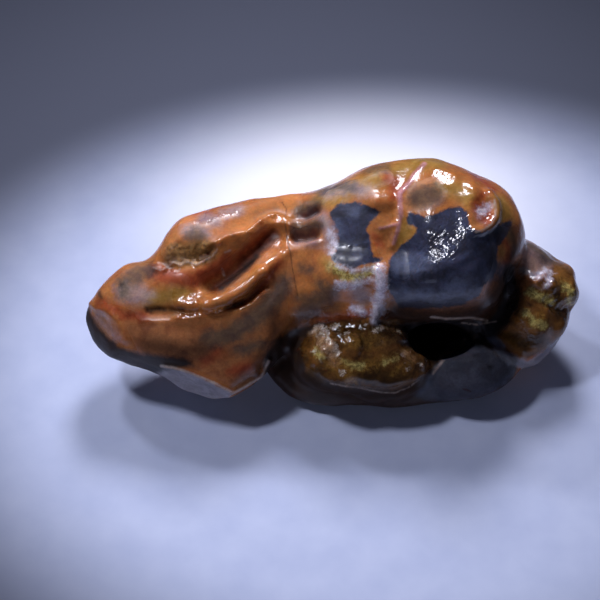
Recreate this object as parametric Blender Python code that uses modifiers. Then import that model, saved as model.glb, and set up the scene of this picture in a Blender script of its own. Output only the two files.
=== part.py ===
"""Raw gobi agate: one wind-polished pebble, 48 mm long, lying on its worn underside.

Lengths are in millimetres in the tables and metres in Blender. +X runs from the folded snout to the
rough end knob, +Z is up, and the origin is under the middle of the stone, on the surface it rests on.
"""

import math

import bmesh
import bpy
import numpy as np
from mathutils import Matrix, Vector, noise

MM = 0.001

# The folded face leans back at this angle. Its masses and its relief are laid out square on to it:
# along +X, up the slope, and out from the face.
LEAN = 50.0
LEVEL = 90.0

GRAIN = 0.38
BLEND_PASSES = 9
TRIANGLES = 9400


def clear_scene():
    for thing in list(bpy.data.objects):
        bpy.data.objects.remove(thing)


def slope(lean):
    """The up-slope and outward directions of a face that leans back by an angle above the ground."""
    angle = math.radians(lean)
    up = Vector((0.0, math.sin(angle), math.cos(angle)))
    out = Vector((0.0, -math.cos(angle), math.sin(angle)))
    return up, out


def on_face(x, up_slope, outward, lean=LEAN):
    up, out = slope(lean)
    return (Vector((x, 0.0, 0.0)) + up * up_slope + out * outward) * MM


# ---------------------------------------------------------------- masses
# Each mass is a row of sections: (along X, top, bottom, front, back). Top and bottom are measured up
# the slope, front and back outward from it.

LEAF = [
    (-24.0, 3.0, 1.5, 9.4, 8.0),
    (-23.3, 3.7, -0.3, 10.6, 6.6),
    (-21.9, 5.6, -1.7, 11.6, 5.4),
    (-20.0, 7.3, -2.6, 12.2, 4.6),
    (-17.9, 7.6, -3.2, 12.6, 4.2),
    (-16.9, 8.5, -3.5, 12.8, 4.0),
    (-15.9, 10.1, -3.9, 13.0, 3.8),
    (-14.6, 11.7, -4.8, 13.2, 3.4),
    (-11.9, 12.7, -6.0, 13.2, 2.8),
    (-10.1, 13.0, -6.5, 13.0, 2.4),
    (-8.1, 13.5, -5.6, 12.8, 1.8),
    (-6.4, 13.6, -4.1, 12.6, 1.4),
    (-4.5, 14.1, -1.6, 12.4, 1.0),
    (-2.6, 13.2, 2.0, 11.0, 2.0),
]

TRUNK = [
    (-6.5, 13.0, 1.0, 11.0, 2.0),
    (-4.5, 14.3, -0.4, 12.7, 0.6),
    (-1.9, 14.5, 0.0, 13.2, 0.0),
    (0.5, 15.2, 0.9, 13.9, -0.5),
    (3.8, 17.0, 1.1, 14.4, -1.0),
    (6.7, 17.6, 1.1, 14.2, -1.2),
    (9.6, 17.6, 1.1, 14.9, -1.2),
    (12.1, 16.9, 1.2, 15.1, -1.0),
    (14.1, 16.1, 1.7, 14.7, -0.4),
    (16.1, 15.3, 3.0, 13.4, 1.2),
    (17.3, 14.4, 4.8, 12.2, 3.0),
    (18.1, 12.9, 6.4, 11.0, 4.6),
    (18.7, 10.9, 8.7, 9.2, 7.0),
]

END_KNOB = [
    (16.5, 8.4, -1.3, 8.6, 1.0),
    (18.5, 10.2, -3.1, 9.4, 0.2),
    (19.6, 9.7, -2.8, 9.8, 0.2),
    (20.5, 9.0, -2.2, 9.8, 0.6),
    (21.4, 8.3, -1.4, 9.6, 1.0),
    (22.1, 7.7, -0.5, 9.2, 1.6),
    (22.9, 7.4, 0.8, 8.8, 2.2),
    (23.7, 7.1, 2.8, 8.2, 3.2),
    (24.2, 6.1, 3.8, 7.0, 4.4),
]

FRONT_KNOB = [
    (-3.8, -1.0, -3.2, 10.0, 6.0),
    (-2.9, 0.4, -4.2, 11.4, 5.0),
    (-1.0, 1.6, -5.2, 12.4, 4.0),
    (2.0, 1.9, -5.6, 12.8, 4.0),
    (5.0, 1.6, -6.0, 12.4, 4.0),
    (7.4, 0.4, -5.6, 11.8, 4.0),
    (8.9, -1.2, -4.6, 10.8, 5.0),
    (9.5, -2.2, -3.6, 9.8, 6.0),
]

# The apron carries the trunk's face down to the front knob.
APRON = [
    (-1.6, 4.6, -0.6, 10.6, 6.0),
    (-0.6, 5.4, -0.8, 12.0, 6.0),
    (2.0, 5.8, -0.8, 12.7, 6.0),
    (4.4, 5.6, -0.8, 12.5, 6.0),
    (5.8, 4.8, -0.2, 11.4, 6.0),
]

HEEL = [
    (8.8, -2.4, -5.0, 8.8, 6.0),
    (10.0, -1.4, -5.8, 10.0, 5.6),
    (12.0, -0.6, -6.1, 10.6, 5.6),
    (14.0, -0.2, -6.0, 10.6, 5.4),
    (16.0, -0.6, -5.4, 10.0, 5.0),
    (17.6, -1.6, -4.2, 8.8, 5.0),
    (18.4, -2.4, -3.4, 7.4, 5.4),
]

# The sole stands level on the ground: (along X, back, front, top, bottom).
SOLE = [
    (-7.0, 1.0, -3.0, 3.4, 1.4),
    (-6.4, 2.6, -6.0, 4.0, 0.7),
    (-5.4, 3.4, -7.4, 4.0, 0.2),
    (-4.1, 4.0, -8.7, 4.0, -0.1),
    (-2.1, 4.4, -9.6, 4.0, -0.3),
    (0.0, 4.8, -10.2, 4.0, -0.35),
    (5.0, 5.0, -10.2, 4.0, -0.35),
    (8.0, 5.0, -10.0, 4.0, -0.35),
    (11.0, 5.0, -9.7, 4.0, -0.35),
    (14.0, 4.6, -9.1, 4.0, -0.3),
    (16.0, 3.8, -8.0, 4.0, 0.0),
    (17.3, 3.0, -6.8, 4.0, 0.5),
    (18.2, 1.6, -5.2, 4.0, 1.1),
    (18.8, 0.0, -3.6, 3.6, 1.8),
]

# The belly fills in behind the sole and under the trunk.
BELLY = [
    (-6.0, 3.0, -3.0, 7.0, 3.0),
    (-4.5, 5.0, -5.4, 9.0, 1.4),
    (-1.0, 6.6, -6.2, 10.0, 0.6),
    (5.0, 7.8, -6.4, 11.0, 0.5),
    (10.0, 8.2, -6.0, 11.0, 0.5),
    (14.0, 7.6, -5.2, 10.0, 0.9),
    (17.0, 5.8, -4.0, 8.6, 1.8),
    (18.6, 3.0, -1.0, 7.0, 3.4),
]

SIDES = 40


def loft(mesh, sections, lean, squareness):
    """Skin one mass over its sections, each a squared-off oval standing across X."""
    up, out = slope(lean)
    rings = []
    for x, top, bottom, front, back in sections:
        ring = bmesh.ops.create_circle(mesh, segments=SIDES, radius=1.0)["verts"]
        for corner in ring:
            across = math.copysign(abs(corner.co.x) ** (2.0 / squareness), corner.co.x)
            along = math.copysign(abs(corner.co.y) ** (2.0 / squareness), corner.co.y)
            up_slope = (top + bottom) / 2.0 + (top - bottom) / 2.0 * along
            outward = (front + back) / 2.0 + (front - back) / 2.0 * across
            corner.co = on_face(x, up_slope, outward, lean)
        rings.append(ring)
    for near, far in zip(rings, rings[1:]):
        edges = {e for v in near + far for e in v.link_edges if e.is_boundary or e.is_wire}
        edges = [e for e in edges if set(e.verts) <= set(near) or set(e.verts) <= set(far)]
        bmesh.ops.bridge_loops(mesh, edges=edges)
    for ring in (rings[0], rings[-1]):
        bmesh.ops.contextual_create(mesh, geom=ring)


def apply(stone, kind, **settings):
    modifier = stone.modifiers.new(kind.title(), kind)
    for name, value in settings.items():
        setattr(modifier, name, value)
    bpy.ops.object.modifier_apply(modifier=modifier.name)


# ---------------------------------------------------------------- relief
# Folds, lips and pits are pressed into a face along short paths: (path, width, height). The path is
# (along X, up the slope); a negative height digs in.

FRONT_RELIEF = [
    # the brow above the shelf, and the crusty pit under it
    ([(-14.4, 9.2), (-12.8, 10.0)], 2.8, 0.35),
    ([(-15.8, 7.0), (-14.2, 7.4), (-11.8, 7.8)], 1.3, -0.6),
    # the uppermost fold of the leaf
    ([(-11.3, 9.0), (-7.8, 10.3), (-6.7, 11.2), (-4.2, 11.1)], 1.1, 0.3),
    # the deep gully and the sharp lip under it
    ([(-11.4, 5.3), (-10.2, 6.2), (-8.3, 7.5), (-6.6, 8.6), (-5.4, 9.4)], 1.9, -1.2),
    ([(-11.8, 3.5), (-9.2, 4.9), (-7.3, 6.5), (-5.4, 8.7), (-4.4, 9.4)], 1.0, 0.5),
    # the lower fold and the thin groove that follows it
    ([(-14.4, 3.3), (-12.0, 3.0), (-8.7, 4.3), (-6.4, 6.2), (-4.2, 8.6)], 1.0, 0.3),
    ([(-17.2, 2.6), (-13.5, 2.4), (-9.7, 2.7), (-7.8, 4.0), (-6.5, 5.4)], 0.8, -0.35),
    # two slots where the leaf meets the waist
    ([(-3.3, 11.5), (-1.7, 12.1)], 0.9, -0.8),
    ([(-3.5, 9.8), (-1.8, 10.1)], 1.0, -1.0),
    # the waist
    ([(-4.2, 11.5), (-4.0, 7.7), (-3.4, 3.5), (-3.1, 1.1)], 3.2, -0.7),
    # the valley between the two rounded masses
    ([(7.4, 14.9), (6.7, 13.2), (6.2, 11.5), (5.7, 8.7), (5.0, 5.4)], 3.2, -0.5),
    # the dome, its dish and the rim round the dish
    ([(11.0, 8.0), (13.0, 8.0)], 6.0, 0.5),
    ([(13.9, 11.8), (13.9, 11.2)], 1.9, -0.35),
    ([(14.9, 13.7), (15.4, 12.7), (15.4, 11.6), (14.8, 10.5), (13.5, 10.0)], 0.8, 0.3),
    # the seam over the front knob
    ([(-1.4, 1.1), (0.7, 1.4), (3.5, 1.4), (6.0, 1.2)], 1.0, -0.45),
    # the dark cleft between the dome and the end knob
    ([(17.8, 6.6), (17.2, 4.6), (16.4, 2.6), (15.4, 1.2)], 1.2, -1.0),
]

BACK_RELIEF = [
    # two long folds that run from the snout into the trunk
    ([(-19.0, 2.5), (-14.0, 4.6), (-8.0, 6.0), (-2.0, 8.4), (3.0, 8.2)], 2.2, -0.9),
    ([(-16.5, 0.2), (-11.0, 1.6), (-5.5, 3.0), (-1.0, 5.4)], 1.6, 0.7),
    ([(-13.0, -2.4), (-8.0, -0.8), (-3.6, 1.6)], 1.5, -0.6),
    # the valley between the rounded masses, carried over the top
    ([(6.6, 15.0), (6.2, 10.5), (7.2, 5.5), (8.6, 3.4)], 3.0, -0.9),
    # a shallow scoop in the dome and a worn shoulder beside it
    ([(12.4, 9.4), (14.0, 7.6)], 2.8, -0.8),
    ([(10.2, 12.4), (13.4, 12.8), (15.8, 11.0)], 1.8, 0.5),
    ([(0.4, 12.0), (3.2, 13.2)], 2.6, 0.6),
    # crease where the end knob leaves the dome
    ([(18.2, 9.0), (17.6, 6.0), (16.8, 2.5)], 1.5, -0.7),
]


def smoothstep(value, low, high):
    t = np.clip((value - low) / (high - low), 0.0, 1.0)
    return t * t * (3.0 - 2.0 * t)


def points_and_normals(mesh):
    count = len(mesh.vertices)
    points = np.empty(count * 3, dtype=np.float32)
    normals = np.empty(count * 3, dtype=np.float32)
    mesh.vertices.foreach_get("co", points)
    mesh.vertex_normals.foreach_get("vector", normals)
    return points.reshape(-1, 3).astype(float), normals.reshape(-1, 3).astype(float)


def move_points(mesh, points):
    mesh.vertices.foreach_set("co", points.astype(np.float32).ravel())
    mesh.update()


def distance_to_path(place, path):
    """Distance in the plane of the face from every point to a path of straight runs."""
    if len(path) == 1:
        return np.linalg.norm(place - np.array(path[0]), axis=1)
    nearest = np.full(len(place), 1e9)
    for start, end in zip(path, path[1:]):
        start, end = np.array(start), np.array(end)
        run = end - start
        t = np.clip(((place - start) @ run) / (run @ run), 0.0, 1.0)
        nearest = np.minimum(nearest, np.linalg.norm(place - start - t[:, None] * run, axis=1))
    return nearest


def press(mesh, relief, lean=LEAN, side=1.0):
    """Press every stroke of a relief into the side of the stone that faces out along the slope."""
    up, out = (np.array(axis) for axis in slope(lean))
    for path, width, height in relief:
        points, normals = points_and_normals(mesh)
        place = np.stack([points[:, 0], points @ up], axis=1) / MM
        near = np.clip(1.0 - (distance_to_path(place, path) / width) ** 2, 0.0, 1.0) ** 2
        facing = smoothstep(side * (normals @ out), 0.0, 0.5)
        direction = normals + side * out
        direction /= np.linalg.norm(direction, axis=1)[:, None] + 1e-9
        move_points(mesh, points + direction * (near * facing * height * MM)[:, None])


# ---------------------------------------------------------------- chips and hollow

# Flat conchoidal chips off the leaf that leave it sharp edges: two points of the edge and the direction
# the chip falls away in, each along X, up the slope and outward.
CHIPS = [
    ((-15.9, -2.8, 11.6), (-9.7, -5.5, 10.8), (0.0, -0.5, -1.0)),
    ((-9.8, -6.3, 11.2), (-6.1, -3.7, 10.8), (-0.25, 0.2, -1.0)),
    ((-22.9, 3.4, 10.2), (-19.6, -1.6, 12.0), (-0.7, -0.5, -1.0)),
]

HOLLOW = ((10.4, -0.3, 8.0), (3.6, 1.9, 5.5))


def as_object(name, work, collection):
    mesh = bpy.data.meshes.new(name)
    work.to_mesh(mesh)
    work.free()
    thing = bpy.data.objects.new(name, mesh)
    collection.objects.link(thing)
    return thing


def new_collection(name):
    collection = bpy.data.collections.new(name)
    bpy.context.scene.collection.children.link(collection)
    return collection


def polished_agate():
    material = bpy.data.materials.new("agate")
    material.use_nodes = True
    shader = material.node_tree.nodes["Principled BSDF"]
    shader.inputs["Base Color"].default_value = (0.21, 0.07, 0.025, 1.0)
    shader.inputs["Roughness"].default_value = 0.2
    shader.inputs["Metallic"].default_value = 0.0
    material.diffuse_color = (0.21, 0.07, 0.025, 1.0)
    material.roughness = 0.2
    return material


def slice_off(mesh, point, normal):
    """Take away everything past a plane and close the cut."""
    everything = mesh.verts[:] + mesh.edges[:] + mesh.faces[:]
    cut = bmesh.ops.bisect_plane(
        mesh, geom=everything, plane_co=point, plane_no=normal, clear_outer=True
    )
    rim = [e for e in cut["geom_cut"] if isinstance(e, bmesh.types.BMEdge)]
    bmesh.ops.holes_fill(mesh, edges=rim)


def chip(mesh, start, end, fall):
    start, end = on_face(*start), on_face(*end)
    normal = (end - start).cross(on_face(*fall)).normalized()
    up = slope(LEAN)[0]
    slice_off(mesh, start, -normal if normal.dot(up) > 0.0 else normal)


def hollow(stone, centre, radii, cutters):
    up, out = slope(LEAN)
    turn = Matrix((Vector((1.0, 0.0, 0.0)), up, out)).transposed().to_4x4()
    size = Matrix.Diagonal((*[r * MM for r in radii], 1.0))
    work = bmesh.new()
    place = Matrix.Translation(on_face(*centre)) @ turn @ size
    bmesh.ops.create_icosphere(work, subdivisions=4, radius=1.0, matrix=place)
    bmesh.ops.recalc_face_normals(work, faces=work.faces)
    cutter = as_object("hollow_cutter", work, cutters)
    cutter.hide_render = True
    cutter.display_type = "WIRE"
    apply(stone, "BOOLEAN", operation="DIFFERENCE", solver="EXACT", object=cutter)


def undulate(mesh, height, size, centre=None, reach=1.0):
    """Swell and sink the surface gently, over the whole stone or round one centre."""
    points, normals = points_and_normals(mesh)
    swell = np.array([noise.noise(Vector(p) / (size * MM)) for p in points])
    if centre is not None:
        away = np.linalg.norm(points - np.array(on_face(*centre)), axis=1)
        swell *= smoothstep(away, reach * MM, 0.6 * reach * MM)
    move_points(mesh, points + normals * (swell * height * MM)[:, None])


def blend(stone, passes, sharp_until=None):
    """Soften the joints between the masses, but not the chipped leaf at the -X end."""
    group = stone.vertex_groups.new(name="blend")
    for vertex in stone.data.vertices:
        share = 1.0
        if sharp_until is not None:
            share = float(smoothstep(vertex.co.x / MM, sharp_until - 3.0, sharp_until + 3.0))
        group.add([vertex.index], share, "REPLACE")
    apply(stone, "SMOOTH", factor=0.5, iterations=passes, vertex_group="blend")
    stone.vertex_groups.clear()


def flatten_base(stone):
    """Wear the underside flat at ground level and set the stone over the origin."""
    work = bmesh.new()
    work.from_mesh(stone.data)
    slice_off(work, (0.0, 0.0, 0.0), (0.0, 0.0, -1.0))
    bmesh.ops.triangulate(work, faces=work.faces)
    low = [min(v.co[axis] for v in work.verts) for axis in (0, 1)]
    high = [max(v.co[axis] for v in work.verts) for axis in (0, 1)]
    middle = Vector((low[0] + high[0], low[1] + high[1], 0.0)) / 2.0
    bmesh.ops.translate(work, vec=-middle, verts=work.verts)
    work.to_mesh(stone.data)
    work.free()


def main():
    clear_scene()
    agate = new_collection("gobi_agate")
    cutters = new_collection("cutters")
    work = bmesh.new()
    loft(work, LEAF, LEAN, 2.6)
    bmesh.ops.recalc_face_normals(work, faces=work.faces)
    for edge in CHIPS:
        chip(work, *edge)
    loft(work, TRUNK, LEAN, 2.4)
    loft(work, END_KNOB, LEAN, 2.2)
    loft(work, FRONT_KNOB, LEAN, 2.7)
    loft(work, APRON, LEAN, 2.4)
    loft(work, HEEL, LEAN, 2.2)
    loft(work, SOLE, LEVEL, 2.2)
    loft(work, BELLY, LEVEL, 2.2)
    bmesh.ops.recalc_face_normals(work, faces=work.faces)
    stone = as_object("stone", work, agate)
    stone.data.materials.append(polished_agate())
    bpy.context.view_layer.objects.active = stone
    stone.select_set(True)
    apply(stone, "REMESH", mode="VOXEL", voxel_size=GRAIN * MM, adaptivity=0.0)
    blend(stone, BLEND_PASSES, sharp_until=-6.0)
    hollow(stone, *HOLLOW, cutters)
    apply(stone, "REMESH", mode="VOXEL", voxel_size=GRAIN * MM, adaptivity=0.0)
    blend(stone, 2)
    undulate(stone.data, 0.35, 5.0)
    undulate(stone.data, 0.5, 1.9, centre=(3.0, -2.0, 10.0), reach=6.5)
    undulate(stone.data, 0.5, 1.9, centre=(21.0, 2.5, 7.0), reach=7.5)
    press(stone.data, FRONT_RELIEF)
    press(stone.data, BACK_RELIEF, side=-1.0)
    blend(stone, 1)
    faces = sum(len(p.vertices) - 2 for p in stone.data.polygons)
    apply(stone, "DECIMATE", ratio=TRIANGLES / faces, use_collapse_triangulate=True)
    flatten_base(stone)
    stone.data.shade_smooth()
    stone.data.set_sharp_from_angle(angle=math.radians(35.0))


main()
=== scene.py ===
import math

import bpy
import numpy as np
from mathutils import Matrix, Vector


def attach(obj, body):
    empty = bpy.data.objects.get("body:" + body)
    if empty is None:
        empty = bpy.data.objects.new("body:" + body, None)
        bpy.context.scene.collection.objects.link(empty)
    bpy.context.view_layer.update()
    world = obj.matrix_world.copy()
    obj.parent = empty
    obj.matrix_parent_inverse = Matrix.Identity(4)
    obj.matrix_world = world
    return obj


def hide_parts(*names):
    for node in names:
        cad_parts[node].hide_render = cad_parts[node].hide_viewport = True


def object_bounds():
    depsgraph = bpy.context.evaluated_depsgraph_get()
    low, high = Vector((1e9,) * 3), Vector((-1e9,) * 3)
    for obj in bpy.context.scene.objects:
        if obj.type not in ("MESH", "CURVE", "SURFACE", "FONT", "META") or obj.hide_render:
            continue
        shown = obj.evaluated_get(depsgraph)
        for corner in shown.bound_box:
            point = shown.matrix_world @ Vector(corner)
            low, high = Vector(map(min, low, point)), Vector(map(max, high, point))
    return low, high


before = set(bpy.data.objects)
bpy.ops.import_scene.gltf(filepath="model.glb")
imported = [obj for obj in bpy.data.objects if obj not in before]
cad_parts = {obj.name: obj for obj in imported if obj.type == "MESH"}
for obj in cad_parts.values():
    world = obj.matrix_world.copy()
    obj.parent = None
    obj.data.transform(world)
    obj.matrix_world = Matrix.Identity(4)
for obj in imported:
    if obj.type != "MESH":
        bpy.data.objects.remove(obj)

cad_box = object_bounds()

# ======================================== the rough shape of the pebble
# One natural pebble of banded chalcedony, broken out of a vein and worn round by desert wind. It starts
# as a copy of the solid, skinned over with an even, fine net that is fit for carving.

MM = 0.001
WELD = 1e-6
NET = 0.15
SOFTENING = 24


def apply(piece, kind, **settings):
    """Add a modifier to a piece and make it part of its mesh."""
    modifier = piece.modifiers.new(kind.title(), kind)
    for name, value in settings.items():
        setattr(modifier, name, value)
    bpy.ops.object.modifier_apply(modifier=modifier.name)


bpy.ops.object.select_all(action="DESELECT")
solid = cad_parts["stone"]
pebble = bpy.data.objects.new("pebble", solid.data.copy())
bpy.context.scene.collection.objects.link(pebble)
pebble.select_set(True)
bpy.context.view_layer.objects.active = pebble

bpy.ops.object.mode_set(mode="EDIT")
bpy.ops.mesh.select_all(action="SELECT")
bpy.ops.mesh.remove_doubles(threshold=WELD)
bpy.ops.object.mode_set(mode="OBJECT")
apply(pebble, "REMESH", mode="VOXEL", voxel_size=NET * MM, use_smooth_shade=True)
apply(pebble, "SMOOTH", factor=0.5, iterations=SOFTENING)

# ======================================== folds, lips and pits
# Wind and the shrinking gel left folds, sharp lips, slots and pits in the chalcedony. Each is a stroke
# along a path on the face: (path, width, height), in mm; a negative height digs in.

# The worked face leans back by LEAN; every place on it is given along X and up its slope.
LEAN = math.radians(50.0)
UP_SLOPE = np.array((0.0, math.sin(LEAN), math.cos(LEAN)))
OUTWARD = np.array((0.0, -math.cos(LEAN), math.sin(LEAN)))

FRONT, BACK = 1.0, -1.0
CREST = 1.5
TURNED_AWAY = 0.45
STRAIGHT_OUT = 0.6
FAR_AWAY, TINY = 1e9, 1e-9

ROUND_FOLDS = [
    # the top band, and the brow over the crusty pit
    ([(-8.4, 11.1), (-6.9, 11.7), (-5.6, 12.1), (-4, 12.2)], 1.7, -0.25),
    ([(-12.4, 11), (-10.7, 11.8), (-9, 12.4)], 0.8, 0.07),
    ([(-14.8, 8.6), (-13.1, 8.8)], 1.7, -0.14),
    ([(-15.6, 9), (-14.1, 9.4), (-12.2, 9.8)], 1.2, 0.12),
    ([(-14.6, 11), (-13.5, 11.1)], 0.6, 0.15),
    ([(-14.5, 9.8)], 1.0, 0.15),
    # the blob where the folds meet
    ([(-13.3, 2.9), (-11.7, 4.1)], 1.6, 0.2),
    # the rounded lip of the gully
    ([(-12.4, 4), (-11.3, 4.3), (-10.2, 4.8), (-9, 5.8), (-7.8, 6.9), (-6.8, 8.1), (-5.9, 8.9),
     (-4.9, 9.5)], 1.1, 0.1),
    ([(-12, 3.1), (-10.7, 3.5), (-9.3, 4.2), (-8, 5.1), (-6.9, 6.3)], 0.9, 0.5),
    ([(-6.9, 6.3), (-5.8, 7.4), (-4.7, 8.5)], 0.8, 0.15),
    ([(-17, 6.8), (-16.3, 6.6)], 0.6, 0.2),
    # soft swellings of the leaf
    ([(-17.5, -0.6), (-14.6, -0.6), (-11.3, -1.2)], 1.8, 0.2),
    ([(-10.4, -2.2), (-8, -2.2)], 1.6, 0.18),
    ([(-9.6, 1.6), (-7.4, 3.7), (-5.6, 5.6)], 1.2, -0.18),
    # the two slots where the leaf meets the trunk, and the small lips under them
    ([(-3.3, 12), (-1.8, 12.5)], 0.9, -0.25),
    ([(-3.5, 10.2), (-1.9, 10.5)], 0.9, -0.3),
    ([(-4.1, 11), (-3, 11.1), (-1.8, 11.6)], 0.5, 0.14),
    ([(-3.8, 9.1), (-2.7, 9.1), (-1.6, 9.2)], 0.5, 0.14),
    # the trunk beside the waist, and the bulges along its top
    ([(3.6, 12.9), (4.9, 13)], 1.2, 0.36),
    ([(9.6, 15.9), (10.9, 15.2)], 1.3, 0.25),
    ([(12.8, 14.6), (13.2, 13.7)], 0.9, 0.25),
    ([(13, 14.1)], 0.5, 0.1),
    ([(0.1, 6.3), (1.8, 6.1), (3.7, 6.5)], 3.0, 0.7),
    ([(4.1, 6.5), (4.1, 3.7), (3.8, 2)], 0.8, 0.25),
    ([(0.1, 5.2), (1.6, 5.3), (3.3, 5.5)], 0.6, 0.16),
    ([(3.9, 9.5), (4.1, 7.7), (4.1, 6.2)], 2.6, 0.15),
    # the low swells across the dome
    ([(6.1, 5.2), (8.9, 4.9), (11.9, 5.4)], 3.4, 1.0),
    ([(8.9, 6.6), (10.4, 7.3), (12.1, 8.8), (12.8, 10.7)], 1.4, 0.32),
    ([(8.6, 7.3), (9.9, 8), (11, 9), (11.8, 10.1), (12.2, 11.6)], 1.3, 0.16),
    ([(13.5, 8.8), (13.8, 10.7), (13.3, 12.5)], 2.4, 0.3),
    ([(11.9, 7.3), (13.1, 8.4), (13.6, 9.7)], 2.0, 0.12),
    ([(14.6, 13.8), (15.1, 12.9), (15.2, 12.2), (15, 11.4), (14.5, 10.7), (13.7, 10.2),
     (12.8, 10)], 0.7, 0.4),
    ([(10, 6.7), (11.4, 7.3), (12.7, 7.8)], 0.6, 0.1),
    ([(7.4, 6.2), (9.7, 6.3)], 0.5, 0.12),
    ([(7.2, 5.6), (9.3, 5.7)], 0.5, 0.12),
    # the knobs of the front lump
    ([(-0.9, -1), (-0.2, -0.6)], 1.0, 0.4),
    ([(-1.2, -1.8)], 0.7, 0.25),
    ([(0.1, -1.8)], 0.7, 0.2),
    ([(2, -3.5), (4.3, -3.9), (6.4, -3.5)], 1.3, 0.25),
    ([(1, 0.1), (1.7, -0.1)], 1.3, 0.25),
    ([(5.3, -0.1)], 1.2, 0.2),
    ([(7.6, -1.6), (8.5, -2.2)], 1.0, 0.3),
    ([(3, -1.2), (4.3, -1)], 1.0, -0.2),
    ([(6.6, -0.6)], 0.8, -0.3),
    # the end lump: saddle, shoulder and the two lobes of its body
    ([(18.8, 7.4), (20.7, 6.8)], 1.4, -0.3),
    ([(19, 5.6), (21.1, 5.1)], 0.9, 0.3),
    ([(22.8, 4.5)], 1.2, 0.25),
    ([(18, 1.3), (19.4, 0.8)], 2.0, 0.3),
    ([(21.7, 0.8)], 1.6, 0.2),
    # the deep cleft between the dome and the end lump, and the recess beside the leaf
    ([(16.7, 6), (17, 3.9), (16.3, 2)], 1.6, -0.45),
    ([(-6.4, -2.6), (-5.6, -1.3), (-4.8, 0)], 1.5, -0.5),
    # the rounded foot of the snout
    ([(-23.3, 1.6), (-22.5, 0.2), (-21.4, -0.9)], 1.5, 0.3),
]

# the small wax-like beads along the crests
BEADS = [
    (-11.9, 11.3), (-10.7, 11.9), (-11, 9.1), (-9.5, 9.9), (-8.2, 10.2), (-7.1, 11.1),
    (-5.9, 11.7), (-14.4, 2.3), (-13.8, 2.3), (-13.1, 2.4), (-12.5, 2.5), (-11.1, 2.7),
    (-10.7, 2.8), (-8.7, 3.1), (-8.1, 3.4), (-7.6, 3.7), (-7.2, 4.1), (-16.8, 6.7), (-16.2, 6.6),
    (-15.4, 7.1), (-14.6, 6.9), (-13.9, 7.2), (-13.1, 7), (-12.4, 7.4), (-11.6, 7.9),
]
BEAD_WIDTH, BEAD_HEIGHT = 0.34, 0.13
ROUND_FOLDS += [([bead], BEAD_WIDTH, BEAD_HEIGHT) for bead in BEADS]

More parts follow.
